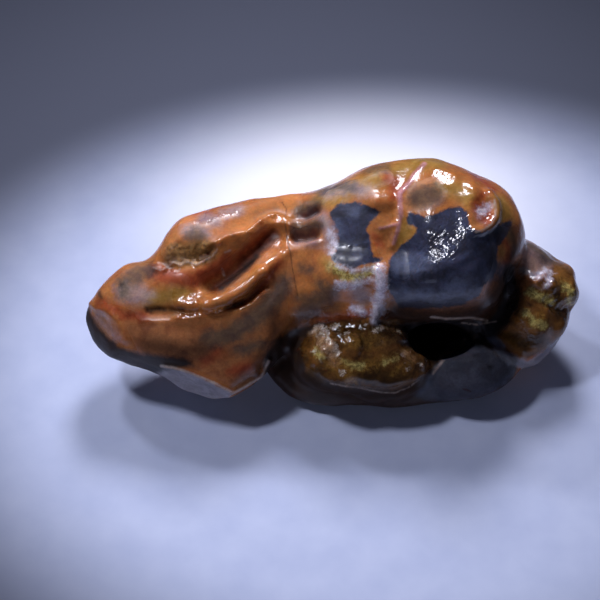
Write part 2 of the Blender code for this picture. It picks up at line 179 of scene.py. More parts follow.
SHARP_FOLDS = [
    # the top fold with its wavy crest
    ([(-12.3, 8.5), (-11.5, 9.1), (-11, 9.2), (-10.2, 9.7), (-8.9, 10), (-8.2, 10.1), (-7.4, 10.9),
     (-6.9, 11.3), (-6.3, 11.7), (-5.6, 11.8), (-4.8, 11.4)], 0.75, 0.34),
    # the long deep gully and the crease at its foot
    ([(-11.8, 4.8), (-10.9, 5.4), (-9.7, 6.3), (-8.7, 7.3), (-7.7, 8.3), (-6.8, 9.4),
     (-5.9, 10.2)], 1.0, -0.35),
    # the thin groove that follows the lower fold
    ([(-17.7, 2.8), (-16.5, 2.8), (-15.4, 2.8)], 0.5, -0.22),
    ([(-15.4, 2.7), (-14, 2.4), (-11.6, 2.7), (-9.6, 3), (-8.5, 3.5)], 0.45, -0.2),
    ([(-9, 3.3), (-8, 3.9), (-7.3, 4.6), (-6.7, 5.4)], 0.75, -0.5),
    ([(-18.4, 1.7), (-16.3, 1.7), (-14.8, 2)], 0.7, 0.08),
    ([(-14.8, 2), (-13.9, 1.9), (-12.3, 2.2), (-10.7, 2.5), (-8.9, 2.8), (-7.7, 3.3),
     (-6.8, 4.3)], 0.9, 0.34),
    # the ledge over the crusty pit, broken into small steps
    ([(-16, 6.7), (-15.4, 7.3), (-14.6, 7), (-13.9, 7.4), (-13.1, 7.1), (-12.4, 7.5), (-11.6, 7.9),
     (-11.2, 8.5)], 0.4, 0.14),
    ([(-12.8, 7.9), (-12.1, 8.2), (-11.6, 8.6)], 0.6, -0.3),
    # the ridge across the snout
    ([(-23.5, 3.4), (-22.7, 2.9), (-21.8, 2.8), (-21.1, 2.3), (-20.4, 1.6), (-20, 0.8),
     (-19.8, 0)], 0.8, 0.3),
    # the slots where the leaf meets the trunk
    ([(-2.8, 11.6), (-2.2, 11.8), (-1.7, 12.2)], 0.45, -0.35),
    ([(-3.6, 9.6), (-2.7, 9.6), (-1.9, 9.8)], 0.55, -0.5),
    # the vein that stands proud in the valley of the trunk, over a low ledge
    ([(8.6, 16.7), (7.7, 15.7), (7.1, 14.8), (6.3, 13.9), (6, 13.1), (6.1, 12.2), (6.1, 11.4),
     (5.8, 10.3), (5.4, 8.8)], 0.7, 0.2),
    ([(4.2, 10.4), (5, 10.6), (5.7, 10.8)], 0.4, 0.12),
    # the brim under the dome, the seam below it and the cleft beside it
    ([(5.4, 2.8), (7.1, 2.1), (9.1, 2), (11.3, 2.1), (13.2, 2.6), (14.6, 3.4)], 0.9, 0.35),
    ([(6.5, 1.2), (8, 1.4), (9.9, 1.4), (11.9, 1.4), (13.8, 1.6)], 0.9, -0.5),
    # the knobbly seam over the front lump
    ([(-1.6, 1.2), (0, 1.7), (1.7, 1.6), (3.2, 2), (4.7, 1.6), (6.2, 1.6)], 0.7, -0.3),
    # the heel's crisp top edge and the streaked wall over it
    ([(9.4, -3.4), (10.3, -2.2), (11.6, -0.9), (13.1, -0.2), (14.3, -0.7), (15.7, -1.7)], 0.5, 0.22),
    ([(13.8, 0.8), (15, 0.1), (15.9, -0.7)], 0.6, -0.3),
    # the notch and the ridges of the end lump
    ([(23.2, 2.9), (22.4, 2.7), (21.5, 2.9), (20.5, 3.4)], 0.9, -0.5),
    ([(19.3, 5.2), (19.9, 5.8), (20.7, 6.4)], 0.6, 0.25),
    ([(17.2, 3.1), (17.6, 2.5), (18, 2)], 0.6, 0.25),
    # the thin edge of the leaf over its broken underside
    ([(-16.1, -2.6), (-14, -3), (-12.5, -3.6), (-11.2, -4.3), (-9.6, -5.1), (-8.4, -4.4),
     (-7, -3.6), (-6.3, -2)], 0.5, 0.24),
    # the hairline crack across the neck
    ([(-5, 13.1), (-4.6, 12.5), (-4.7, 11), (-4.5, 9.5), (-4.2, 8.2), (-4, 6.7), (-3.8, 5.6),
     (-3.5, 4.1)], 0.22, -0.07),
]

# the back: longer folds, and a few round pits
BACK_FOLDS = [
    ([(-20.5, 1.6), (-14, 4.2), (-8, 5.8), (-2.6, 7.8)], 0.8, 0.3),
    ([(-17, -0.8), (-11.5, 0.8), (-5.8, 2.4), (-1.4, 4.6)], 0.7, -0.35),
    ([(-9, 10.5), (-5, 9.4), (-0.5, 10.6), (3.4, 10.2)], 0.8, -0.35),
    ([(6.4, 14), (6, 10.2), (7, 5.4), (8.4, 3.4)], 0.5, 0.25),
    ([(9.6, 6.8), (12.4, 5.4), (15.4, 6.2)], 0.9, -0.4),
    ([(2, 6.4), (3.4, 3.8), (3, 1.6)], 0.9, 0.3),
    ([(18, 9.2), (17.4, 6), (16.6, 2.4)], 0.9, -0.5),
    ([(20, 7.2), (21.4, 5), (21, 2.6)], 0.8, 0.3),
    ([(-13.4, 9.6), (-11.2, 7.8)], 1.2, -0.3),
    ([(-17, 9.6), (-12, 11.4), (-7, 12), (-3, 13.4)], 0.9, -0.4),
    ([(-16, 10.8), (-11, 12.8), (-6.5, 13.4)], 0.8, 0.3),
    ([(5.4, 11.2), (9, 12), (12.6, 11.2), (15, 9)], 0.9, -0.4),
    ([(5, 12.6), (9, 13.6), (13, 12.8)], 0.9, 0.3),
    ([(10.6, 13)], 0.7, -0.35),
    ([(1.6, 11.8)], 0.8, -0.4),
    ([(-1.2, 12.4)], 0.5, -0.25),
    ([(3.2, 13.4)], 0.5, -0.2),
    ([(-19, 8)], 0.7, -0.3),
    ([(3.6, 14.6), (7.4, 15.2), (11, 14.6), (14.2, 12.8)], 0.9, -0.4),
    ([(3.4, 15.8), (7, 16.2), (10.6, 15.8)], 0.8, 0.3),
    ([(8, 13.6)], 0.7, -0.3),
    ([(12.6, 13.4)], 0.5, -0.3),
]


def smoothstep(value, low, high):
    """0 below low, 1 above high, and a soft S between them."""
    t = np.clip((value - low) / (high - low), 0.0, 1.0)
    return t * t * (3.0 - 2.0 * t)


def points_of(mesh):
    """The points of a mesh, in mm."""
    points = np.empty(len(mesh.vertices) * 3, dtype=np.float32)
    mesh.vertices.foreach_get("co", points)
    return points.reshape(-1, 3).astype(float) / MM


def normals_of(mesh):
    normals = np.empty(len(mesh.vertices) * 3, dtype=np.float32)
    mesh.vertex_normals.foreach_get("vector", normals)
    return normals.reshape(-1, 3).astype(float)


def put_points(mesh, points):
    mesh.vertices.foreach_set("co", (points * MM).astype(np.float32).ravel())
    mesh.update()


def on_slope(points):
    """Where points lie on the leaning face: along X and up the slope."""
    return np.stack([points[:, 0], points @ UP_SLOPE], axis=1)


def to_path(place, path):
    """How far each point lies from a path of straight runs, in mm."""
    nearest = np.full(len(place), FAR_AWAY)
    for start, end in zip(path, path[1:] or path):
        start, run = np.array(start), np.array(end) - np.array(start)
        t = np.clip((place - start) @ run / max(run @ run, TINY), 0.0, 1.0)
        nearest = np.minimum(nearest, np.linalg.norm(place - start - t[:, None] * run, axis=1))
    return nearest


def carve(mesh, strokes, side, sharp):
    """Raise or dig every stroke on one side of the pebble, with a round back or a sharp crest."""
    for path, width, height in strokes:
        points, normals = points_of(mesh), normals_of(mesh)
        near = np.clip(1.0 - to_path(on_slope(points), path) / width, 0.0, 1.0)
        near = near ** CREST if sharp else (1.0 - (1.0 - near) ** 2) ** 2
        facing = smoothstep(side * (normals @ OUTWARD), 0.0, TURNED_AWAY)
        heading = normals + side * OUTWARD * STRAIGHT_OUT
        heading /= np.linalg.norm(heading, axis=1)[:, None] + TINY
        put_points(mesh, points + heading * (near * facing * height)[:, None])


carve(pebble.data, ROUND_FOLDS, FRONT, sharp=False)
carve(pebble.data, SHARP_FOLDS, FRONT, sharp=True)
carve(pebble.data, BACK_FOLDS, BACK, sharp=False)
apply(pebble, "SMOOTH", factor=0.5, iterations=1)

# ======================================== where each kind of stone shows, and the painted light and shade
# The pebble is one chalcedony that changes from place to place: slate blue, honey, rust and clear.
# Some kinds are partly painted light: painted shade in hollows, slots, clefts and under overhangs,
# painted reflections of the pale cloth on facets underneath, and painted glints along rims and crests.
# Each kind is laid out as patches and bands on the face, and every point keeps how far inside it lies.

# A row is (side, half width, points): a patch is a closed outline of half width 0, a band an open path.
# The last four, glitter to granules, are no colours but kinds of polish and of grain.
WELL = 2.0
KINDS = {}
KINDS["flame"] = [
    (FRONT, 0, [(-23, 3.7), (-21.7, 5.4), (-19.4, 7.1), (-16.5, 6.9), (-15, 7.3), (-13.1, 6.7),
     (-11.4, 8.2), (-12.2, 9.8), (-12.8, 11.1), (-11.4, 12.6), (-8, 14.1), (-4.2, 14.7),
     (-1.6, 14.5), (-0.8, 13.5), (-2.7, 12.8), (-4, 11.8), (-4.2, 8.4), (-5.2, 5.6),
     (-6.9, 3.5), (-9.3, 2.2), (-12.3, 1.6), (-15.6, 1.6), (-18.4, 1.6), (-20.7, 2.4)]),
    (FRONT, 0.9, [(-16.5, 8.4), (-16.1, 9.4), (-15.4, 10.5), (-14.3, 11.8), (-12.8, 12.8)]),
    (FRONT, 0.9, [(-3.1, 8.8), (-2, 8), (-1, 7.3)]),
    (FRONT, 0.8, [(3.9, 9.7), (4.6, 9), (5, 10.1)]),
    (FRONT, 0.4, [(3.5, 14.4), (4.8, 15)]),
    (BACK, 1.6, [(-15, 9.4), (-9, 11.6), (-3, 12), (3, 14.6)]),
    (BACK, 1.2, [(-20, 4.4), (-12, 7.2), (-5, 8.2)]),
    (BACK, 1.6, [(7, 11), (8, 7), (10, 4)]),
]
KINDS["sienna"] = [
    (FRONT, 0, [(-20.5, 2.2), (-16.5, 1.8), (-12.3, 1.6), (-9, 2.4), (-6.9, 3.7), (-5.6, 5.6),
     (-4.6, 7.3), (-4.2, 4.6), (-5.2, 1.8), (-6.9, -0.6), (-6.9, -3.1), (-9.5, -4.8),
     (-12.8, -3.3), (-15.8, -2.4), (-19.4, -1), (-20.1, 0.9)]),
    (FRONT, 0, [(14.2, 15), (15.9, 13.5), (16.8, 11.2), (16.6, 8.4), (15.9, 6), (14.4, 4.1),
     (11.8, 2.9), (8, 2.6), (5.7, 2.8), (5.4, 3.7), (8, 2.6), (11.8, 3.1), (14, 4.5),
     (15.3, 7.3), (15.7, 9.3), (16.3, 11), (15.5, 13.1)]),
    (BACK, 0, [(-20, -1), (-12, 2), (-4, 4), (2, 2), (-2, -3), (-10, -4)]),
    (BACK, 0, [(3, 11), (9, 12.2), (15, 10.6), (15.8, 13.4), (11, 15.4), (4, 14)]),
    (BACK, 0, [(-19, 7), (-12, 8.4), (-5, 9.4), (0, 8.6), (-2, 6.4), (-10, 5),
     (-17, 4.4)]),
]
KINDS["ochre"] = [
    (FRONT, 0.6, [(-1.4, 13.3), (-0.3, 13.1), (0.9, 13.3)]),
    (FRONT, 0, [(6.3, 11.6), (7.1, 11), (7.8, 10.3), (7.2, 9.3), (6.5, 8.8), (5.9, 8.4),
     (5.7, 9.3), (6.1, 10.7)]),
    (FRONT, 0, [(15.1, 13.5), (16.1, 13.5), (16.8, 12.5), (16.9, 11.4), (15.5, 10.8),
     (14.4, 10.1), (15, 11), (15.3, 12)]),
    (FRONT, 0.8, [(6.5, 16.3), (8, 16.9), (9.9, 16.9)]),
    (FRONT, 0.9, [(0.1, 13.7), (2.4, 14.6), (4.6, 15.5), (6.5, 16.3)]),
    (FRONT, 0.8, [(10.3, 14.4), (11.6, 13.9), (12.7, 13.1)]),
    (FRONT, 0.5, [(-0.8, 7.3), (0.1, 6.3), (1, 5.8)]),
    (FRONT, 0.9, [(-14.8, 7.8), (-13.5, 8), (-12.4, 8.4)]),
    (FRONT, 0.8, [(16.1, 9.7), (16.3, 8.4)]),
    (FRONT, 0.7, [(-17.5, 3.7), (-15.6, 4.1), (-14.3, 4.6)]),
    (BACK, 1.2, [(14, 14), (17, 10), (17, 6)]),
    (BACK, 1.0, [(-2, 12.4), (2, 8.4), (2.4, 5)]),
    (BACK, 1.4, [(3, 11), (5, 13), (8.6, 12.8)]),
    (BACK, 1.2, [(-18, 9), (-13, 9.6)]),
    (BACK, 1.3, [(4, 14.6), (8.6, 15)]),
]
KINDS["heather"] = [
    (FRONT, 0, [(-21, 5), (-19.8, 5.6), (-17.9, 5), (-16.9, 4.1), (-17.7, 3.3), (-19.2, 3.3),
     (-20.6, 3.7)]),
    (FRONT, 0.35, [(-22.7, 2), (-21.8, 1), (-20.8, 0)]),
    (FRONT, 0.7, [(-12.4, 11.4), (-11.4, 11.2)]),
    (FRONT, 0.5, [(-14.1, 10.3), (-12.9, 10.5), (-12.2, 10.1)]),
    (FRONT, 0.5, [(-10.7, 12), (-9.2, 12.4)]),
    (FRONT, 0.6, [(-1.2, 11.4), (-0.6, 10.3), (-0.5, 8.8)]),
    (FRONT, 0, [(18.2, 9.5), (19.5, 9.7), (21.1, 8.9), (21.7, 7.8), (21.5, 6.6), (19.9, 5.8),
     (18.4, 6.6), (17.9, 8.1)]),
    (FRONT, 0.4, [(13.5, 12), (14, 11.2)]),
    (FRONT, 0.8, [(2.2, 4.6), (2.7, 3.7)]),
    (FRONT, 0.5, [(-3.3, 11.6), (-1.8, 12)]),
    (FRONT, 0.4, [(-3.5, 9.2), (-1.6, 9.2)]),
    (FRONT, 0.35, [(-3.1, -2.4), (-2, -3.6), (0.1, -4.7), (3, -5.4), (5.8, -5.7)]),
    (FRONT, 0.7, [(15.3, 6.7), (16.3, 6.3)]),
    (FRONT, 0.6, [(-0.5, 14), (1.4, 14.4), (2.9, 14)]),
    (BACK, 1.0, [(-6, 2), (-2, 1.2)]),
    (BACK, 0.9, [(2.6, 12.6), (5, 11)]),
    (BACK, 1.2, [(12.6, 11.4), (16.4, 9.4)]),
    (BACK, 1.1, [(9.6, 15.8), (13, 15.2)]),
    (BACK, 1.0, [(-8, 13.6), (-4, 14)]),
]
KINDS["ember"] = [
    (FRONT, 0.75, [(-17.3, 6.4), (-15.4, 5.9), (-13.5, 5.5), (-11.4, 6.4), (-10.1, 7.5)]),
    (FRONT, 0.5, [(-10.3, 6.7), (-9, 7.9), (-7.6, 9), (-6.5, 10.1)]),
    (FRONT, 0.35, [(-5.2, 7.3), (-6.1, 6), (-7.3, 4.6)]),
    (FRONT, 0.5, [(-12.2, -2), (-11.2, -1.2)]),
    (FRONT, 0.5, [(-9.7, -3.1), (-8.2, -2.7)]),
    (FRONT, 0.5, [(-22.3, 3.3), (-21, 2.9), (-19.8, 2.2), (-18.1, 2.2)]),
    (FRONT, 0.3, [(-13.5, 12), (-11.3, 13), (-9.4, 13.5)]),
    (FRONT, 0.6, [(5, 15.4), (5.9, 14.8), (5.6, 13.7)]),
    (FRONT, 0.4, [(3.7, 9.7), (4.2, 9)]),
    (FRONT, 0.45, [(-1.6, 1.6), (0.5, 2), (3.4, 2.4), (5.8, 2)]),
    (FRONT, 0.4, [(13.5, 15.7), (15.1, 14.4)]),
    (FRONT, 0.4, [(13.8, 13.5), (13.1, 12.7)]),
    (FRONT, 0.8, [(13.6, 12.3), (14.2, 11.5)]),
    (FRONT, 0.5, [(15.9, 9.3), (16.6, 8.4), (16.3, 7.3)]),
    (BACK, 0.8, [(-18, -0.6), (-11, 1.4), (-4, 3.6)]),
    (BACK, 0.7, [(4.4, 13.8), (5, 10), (6.2, 6)]),
    (BACK, 0.7, [(12, 3), (15, 4.4)]),
    (BACK, 0.8, [(-16, 8.4), (-10, 10), (-4, 10.6), (1, 12.2)]),
    (BACK, 0.5, [(8, 11.6), (12, 12.4), (16, 10.4)]),
    (BACK, 0.7, [(1, 14.4), (5, 14.2), (9, 14.9), (13, 14.2), (16, 11.6)]),
]
# dull olive; in the two slots and along the band down the leaf beside the waist it is painted shade
KINDS["olive"] = [
    (FRONT, 0.9, [(-4.8, 5.2), (-5.6, 4), (-6.5, 2.9), (-8, 1.6), (-9.7, 0.5), (-11.8, -0.1)]),
    (FRONT, 0.55, [(-6.9, -0.5), (-8, -0.8), (-9.2, -1)]),
    (FRONT, 0.7, [(-3.1, 12.3), (-2.3, 12.5), (-1.8, 12.9)]),
    (FRONT, 0.7, [(-3.6, 10.5), (-2.7, 10.5), (-1.8, 10.8)]),
    (FRONT, 0.35, [(-3.1, 6.7), (-2.2, 6.5)]),
    (FRONT, 0.4, [(-3.5, 3.9), (-2.3, 3.7)]),
    (FRONT, 0.5, [(-1.4, 5.2), (-0.8, 4.1)]),
    (FRONT, 0, [(-14.3, 10.1), (-13.3, 10.6), (-12.5, 10.4), (-12.1, 9.8), (-12.5, 9.1),
     (-13.5, 9.1), (-14.3, 9.4)]),
    (FRONT, 0, [(6.9, 12.8), (7.1, 14), (8, 14.6), (9.5, 14.7), (10.3, 13.9), (10.1, 12.9),
     (9.1, 12.3), (7.6, 12.2)]),
    (FRONT, 0.5, [(-1.4, 14.2), (0.5, 14.6), (1.6, 14.4)]),
    (FRONT, 0.45, [(3.3, 16.1), (4.8, 16.5)]),
    (FRONT, 0.9, [(-2.7, 2.6), (-1.8, 3.5), (-0.5, 4.5)]),
    (FRONT, 0.5, [(-20.1, 4.3), (-19.4, 5.2), (-18.2, 6)]),
    (FRONT, 0.8, [(-20.1, 5.2), (-19, 6.2), (-17.7, 6.5)]),
    (FRONT, 0.8, [(20.7, 8.1), (21.9, 7.4), (22.8, 6.6)]),
    (FRONT, 0.5, [(19, 9.1), (20.5, 8.3)]),
    (BACK, 0.9, [(-21, 1), (-14, 4), (-8, 5.4), (-1, 8)]),
    (BACK, 0.9, [(3.6, 3.6), (8, 1.8), (13, 2.4)]),
    (BACK, 0.7, [(-12, 9.4), (-8.6, 9)]),
    (BACK, 1.3, [(-14, 11), (-9.5, 12.6), (-6, 12)]),
    (BACK, 1.2, [(6.5, 13.5), (10, 14.8), (14, 13.4)]),
    (BACK, 1.6, [(4, 15.4), (8, 16.2)]),
    (BACK, 1.0, [(-1, 9.6), (2.6, 8.8)]),
]
# dark brown, darkest where shade falls: painted shade under the dome's brim, in the recess beside the
# leaf, low on the leaf and the waist, and under the end lump
KINDS["umber_and_painted_shade"] = [
    (FRONT, 0.9, [(5.7, 2.5), (8, 2), (10.8, 1.9), (13.5, 2.5), (15, 3.7), (15.9, 5.6)]),
    (FRONT, 0.5, [(-5.9, 2.2), (-5.6, 0.5), (-6.3, -1.4), (-7.4, -3.1)]),
    (FRONT, 1.0, [(-17.5, -0.5), (-14.6, -1.2), (-12.3, -1)]),
    (FRONT, 0.8, [(-9, -4.6), (-7.4, -3.7)]),
    (FRONT, 0.7, [(-3.5, 1.6), (-1.8, 2.6), (-0.1, 3.1)]),
    (FRONT, 0.8, [(16.1, 0.8), (16.6, -0.7), (18, -1.1)]),
    (FRONT, 0.4, [(-0.4, 0.9), (2.4, 1), (5.5, 0.9)]),
    (BACK, 1.0, [(-10, -2), (-4, 1), (0, 3)]),
    (BACK, 0.9, [(16.4, 9), (17.4, 5), (15.6, 1)]),
]
# painted shadow: near black under the front lump and the heel, where the pebble lies in its own shadow
KINDS["painted_shadow_underneath"] = [
    (FRONT, 0, [(-6.7, -1.6), (-5.4, 0.1), (-3.7, 1), (-1.4, 1.6), (1.5, 1.4), (6.2, 1.4),
     (10, 1.4), (13.6, 1.6), (15.7, 2), (17.2, -0.1), (18, -3.1), (16.8, -6), (11.9, -8.1),
     (4.3, -8.3), (-3.3, -7.7), (-6.9, -5.4)]),
]
KINDS["honey"] = [
    (FRONT, 0, [(-3.3, -1), (-2.7, 0.1), (-1.6, 1), (0, 1.6), (1.9, 1.8), (3.4, 2.1),
     (4.7, 1.8), (6.2, 1.6), (7.2, 0.9), (7, -0.5), (8.3, -1), (9.2, -1.8), (9.4, -2.8),
     (8.3, -3.6), (7, -4.4), (5.8, -4.8), (4.3, -4.7), (2.4, -4.4), (0.5, -4), (-1.4, -3.7),
     (-2.7, -3)]),
    (FRONT, 0, [(16.1, 2.7), (17.2, 3.7), (18.2, 4.7), (19.3, 5.2), (20.7, 6), (21.5, 7.2),
     (22.6, 7), (23.6, 6), (24, 4.7), (23.8, 3.1), (23.2, 1.8), (22.8, 0.4), (21.9, -0.6),
     (20.4, -1.3), (19, -1.9), (17.4, -1.9), (16.3, -1.1), (15.7, 0.3)]),
    (BACK, 0, [(18.8, 9.2), (22, 8.2), (24.6, 6), (24, 2), (21, -1.4), (19, 1),
     (18, 5)]),
    (BACK, 0, [(-2, 1.4), (3, 2), (6.4, 0), (5, -3), (-1, -3.4), (-3.4, -1)]),
]
KINDS["straw"] = [
    (FRONT, 0.5, [(-0.1, -2), (1.7, -2.6), (3.6, -2.4), (5.5, -2)]),
    (FRONT, 0.7, [(1.5, -0.1), (3, -0.3), (4.7, 0.1), (6.2, 0.5)]),
    (FRONT, 0.45, [(0.7, -3.3), (1.7, -3.9)]),
    (FRONT, 0.35, [(5.8, -3.1), (6.8, -2.6)]),
    (FRONT, 0.5, [(18.9, 4.5), (19.9, 4), (21, 3.7)]),
    (FRONT, 0.5, [(22.2, 5.4), (23, 4.7), (23, 3.7)]),
    (FRONT, 0.5, [(18.4, 2.3), (19.3, 1.6), (20.1, 2)]),
    (FRONT, 0.5, [(0.1, 6.5), (1.2, 5.9), (2.4, 5.9), (3.5, 6.5)]),
    (FRONT, 0.4, [(-1.6, -1.2), (-0.8, -2), (-0.2, -2.8)]),
]
# yellow, partly painted glints: the sparkling arc under the slate patch and the specks on the front
# lump and the end lump
KINDS["yellow_and_painted_glints"] = [
    (FRONT, 0.45, [(-0.1, 6.7), (1, 5.9), (2.2, 5.8), (3.4, 6.5)]),
    (FRONT, 0.3, [(22.4, 5.1), (23, 4.3), (23, 3.5)]),
    (FRONT, 0.25, [(-1.8, -1.2), (-1, -1.8)]),
    (FRONT, 0.22, [(1, -2.2), (2.4, -2.5)]),
    (FRONT, 0.22, [(4.7, -2.2), (5.8, -1.8)]),
    (FRONT, 0.4, [(18.9, 4.4), (19.9, 3.9), (21, 3.6)]),
    (FRONT, 0.3, [(18.6, 2.3), (19.3, 1.6), (20.1, 1.2)]),
    (BACK, 0.3, [(20.4, 7), (22.6, 5.8)]),
]
KINDS["slate"] = [
    (FRONT, 0, [(-0.4, 12.1), (0.3, 12.7), (1.7, 12.9), (2.9, 12.7), (4.3, 12), (3.8, 11.4),
     (3.3, 11), (2.9, 10.2), (3.3, 9.6), (3.4, 8.5), (3.6, 7.7), (4.6, 7.6), (4.1, 7.2),
     (3.3, 7.1), (2.5, 7), (1.9, 6.6), (1.3, 6.5), (0.6, 7), (-0.2, 7.3), (-0.4, 7.7), (0, 8.2),
     (0.3, 9.2), (0.3, 10.2), (-0.1, 11.1), (-0.5, 11.5)]),
    (FRONT, 0, [(6.7, 11.5), (7, 11.9), (7.6, 11.8), (8.3, 11.5), (8.9, 11.7), (9.6, 11.9),
     (10.3, 12.2), (11, 12.4), (11.8, 12.4), (12.3, 11.9), (12.4, 11), (12.6, 10.3), (13.6, 10),
     (14.6, 10.3), (15.4, 10.8), (16.2, 11.1), (16.8, 11.4), (16.8, 10.8), (16.1, 9.6),
     (15.4, 8.8), (15.1, 7.6), (15.3, 6.9), (14.8, 5.8), (13.8, 5), (13.5, 4), (11.8, 3.2),
     (9.6, 2.9), (7.4, 2.9), (6.1, 3), (5.5, 3.8), (4.9, 4.8), (4.9, 6.1), (5.1, 7.3),
     (5.7, 8.3), (6.7, 9.2), (7.4, 9.7), (7.7, 10.3), (7.2, 10.7), (6.8, 10.9)]),
    (BACK, 0, [(8.4, 12.6), (12.2, 13.6), (15.2, 11.8), (16.6, 8.4), (15, 5.8), (12.6, 6.6),
     (11.4, 4.2), (9, 3.4), (7.8, 6.2), (9.2, 8.8)]),
    (BACK, 0, [(5.6, 13.2), (8.4, 14.6), (11.4, 14.9), (13.2, 13.6), (11.6, 12.6), (9.8, 13.2),
     (8.2, 12.2), (6.4, 12)]),
    (BACK, 0, [(-3.4, 10.2), (-0.8, 11.8), (2.2, 10.4), (2.8, 7.6), (0.6, 7), (-1.4, 8.2)]),
    (BACK, 0, [(-17.6, 4), (-15, 6.4), (-12.2, 6), (-13.6, 4.4), (-16, 2.6)]),
]
# bluish haze over the slate, partly a painted sheen: the lighter blue low on the dome is the pale
# cloth's reflection painted in
KINDS["bluish_haze_and_painted_sheen"] = [
    (FRONT, 0, [(5.7, 8), (7.1, 8.2), (8.6, 7.8), (9.3, 7.1), (8.6, 6.3), (6.9, 6), (5.6, 6),
     (5.2, 6.9)]),
    (FRONT, 0, [(10.8, 5.6), (12.3, 6), (13.8, 6), (13.6, 4.8), (12.1, 3.9), (10.4, 3.5),
     (9.5, 4.1)]),
    (FRONT, 0.5, [(5.4, 4.6), (7.1, 4.3), (8.9, 4.1)]),
    (FRONT, 0, [(0.7, 12.7), (1.6, 12.7), (2.5, 12.6), (2.2, 11.8), (1.6, 11.4), (1, 11.9)]),
    (FRONT, 0.4, [(-0.1, 11), (0.3, 10.3), (0.1, 9)]),
    (FRONT, 0.4, [(14, 5.8), (15.1, 6.3), (16.3, 6.5)]),
    (BACK, 0.8, [(8, 13.4), (12.4, 14.4), (16.2, 12.2), (17.6, 8)]),
    (BACK, 0.7, [(-4.2, 9.8), (-1, 6.4), (3.4, 6.6)]),
]
# lavender white, partly painted glints: the sparkles low on the slate patch, the pale streak beside it,
# and glints on the end lump and in the dish
KINDS["lavender_white_and_painted_glints"] = [
    (FRONT, 0.25, [(-0.5, 10.1), (-0.1, 9.3), (-0.2, 8.4)]),
    (FRONT, 0.55, [(4.1, 6.5), (4.3, 5.2), (4.1, 3.7), (3.9, 2)]),
    (FRONT, 0.3, [(1.7, 2.8), (2.7, 2.6)]),
    (FRONT, 0.25, [(0.3, 5.2), (1.6, 5.1), (3.3, 5.6)]),
    (FRONT, 0.12, [(0.3, 6.9), (1.4, 6.5), (2.5, 6.5), (3.4, 6.8)]),
    (FRONT, 0.25, [(18.4, 6.4), (19.5, 6), (20.5, 6.6)]),
    (FRONT, 0.2, [(20.5, 5.2), (21.1, 6.2)]),
    (FRONT, 0.3, [(13.6, 12), (14.4, 12.5)]),
    (BACK, 0.4, [(-4.6, 9.6), (-1.4, 6), (3.6, 6.4)]),
]
KINDS["treacle"] = [
    (FRONT, 0, [(1.5, -2.9), (3.6, -2.7), (6, -2.8), (7.3, -3.3), (6.6, -4.4), (4.3, -4.7),
     (2.2, -4.4)]),
    (FRONT, 0.45, [(0.3, 0.9), (2.4, 1), (4.7, 1)]),
    (FRONT, 0.4, [(-2.1, -3.1), (-1.2, -3.7)]),
    (FRONT, 0.6, [(17.2, 0), (18.6, -0.7), (19.9, -0.2)]),
    (FRONT, 0.5, [(21.5, 3.7), (21.9, 2.3)]),
    (BACK, 0.8, [(21, 4.4), (22.6, 2)]),
]
# painted shade, dark brown: under the dome's brim, down the cleft by the end lump and in the recess
# beside the leaf
KINDS["dark_painted_shade"] = [
    (FRONT, 1.9, [(5.7, 1.6), (7.4, 1.3), (9.9, 1.1), (12.7, 1.4), (15, 2.2), (16.5, 3.7),
     (17.4, 6)]),
    (FRONT, 0.8, [(16.8, 10.1), (17, 8.4), (16.6, 6)]),
    (FRONT, 0.3, [(15.8, 9.3), (15.5, 7.6), (15.3, 6.1)]),
    (FRONT, 0.6, [(-4.2, 0.5), (-4.8, -1.2), (-5.6, -3.1)]),
    (FRONT, 0.15, [(7.4, 13.2), (8.4, 13.7), (9.7, 13.9)]),
]
# white crystals over the front lump, and painted glints: the small dots along its seam and on its right
# end
KINDS["white_crystals_and_painted_glints"] = [
    (FRONT, 0.55, [(-1.3, 0.8), (-0.9, -0.3), (-0.1, -1.4)]),
    (FRONT, 0.15, [(-2.1, -1.2)]),
    (FRONT, 0.15, [(6.6, -1.5)]),
    (FRONT, 0.16, [(7.1, -2.7)]),
    (FRONT, 0.2, [(8.9, -1.8)]),
    (FRONT, 0.14, [(0.7, -3.1)]),
    (FRONT, 0.16, [(5.3, 1.3)]),
    (FRONT, 0.14, [(1.7, 1.6)]),
    (FRONT, 0.12, [(-0.1, 1.1), (0.3, 1.3)]),
    (FRONT, 0.12, [(3, 1.4)]),
    (FRONT, 0.12, [(3.9, 0.9), (4.4, 1)]),
    (FRONT, 0.14, [(6.1, 1.1), (6.4, 0.9)]),
    (FRONT, 0.12, [(1.2, 0.6)]),
    (FRONT, 0.1, [(7.5, -1.3)]),
    (FRONT, 0.1, [(8.2, -2.4)]),
    (BACK, 0.4, [(10.6, 6.2), (12.4, 5.4)]),
]
# dark grey on the heel, its blue grey partly a painted reflection of the pale cloth
KINDS["dark_grey_and_painted_reflection"] = [
    (FRONT, 0, [(9, -3.6), (9.8, -2.6), (10.5, -1.9), (11.7, -0.7), (13.1, 0), (14.3, -0.6),
     (15.9, -1.7), (17.7, -2.6), (17.3, -4.2), (15.7, -5.2), (13.6, -5.9), (11.1, -6.3),
     (8.8, -6.1), (7.7, -5.5), (8.6, -4.6)]),
    (BACK, 0, [(3, 3.4), (8, 4.6), (13, 3), (14.4, -0.6), (9, -2.4), (4, -1)]),
]
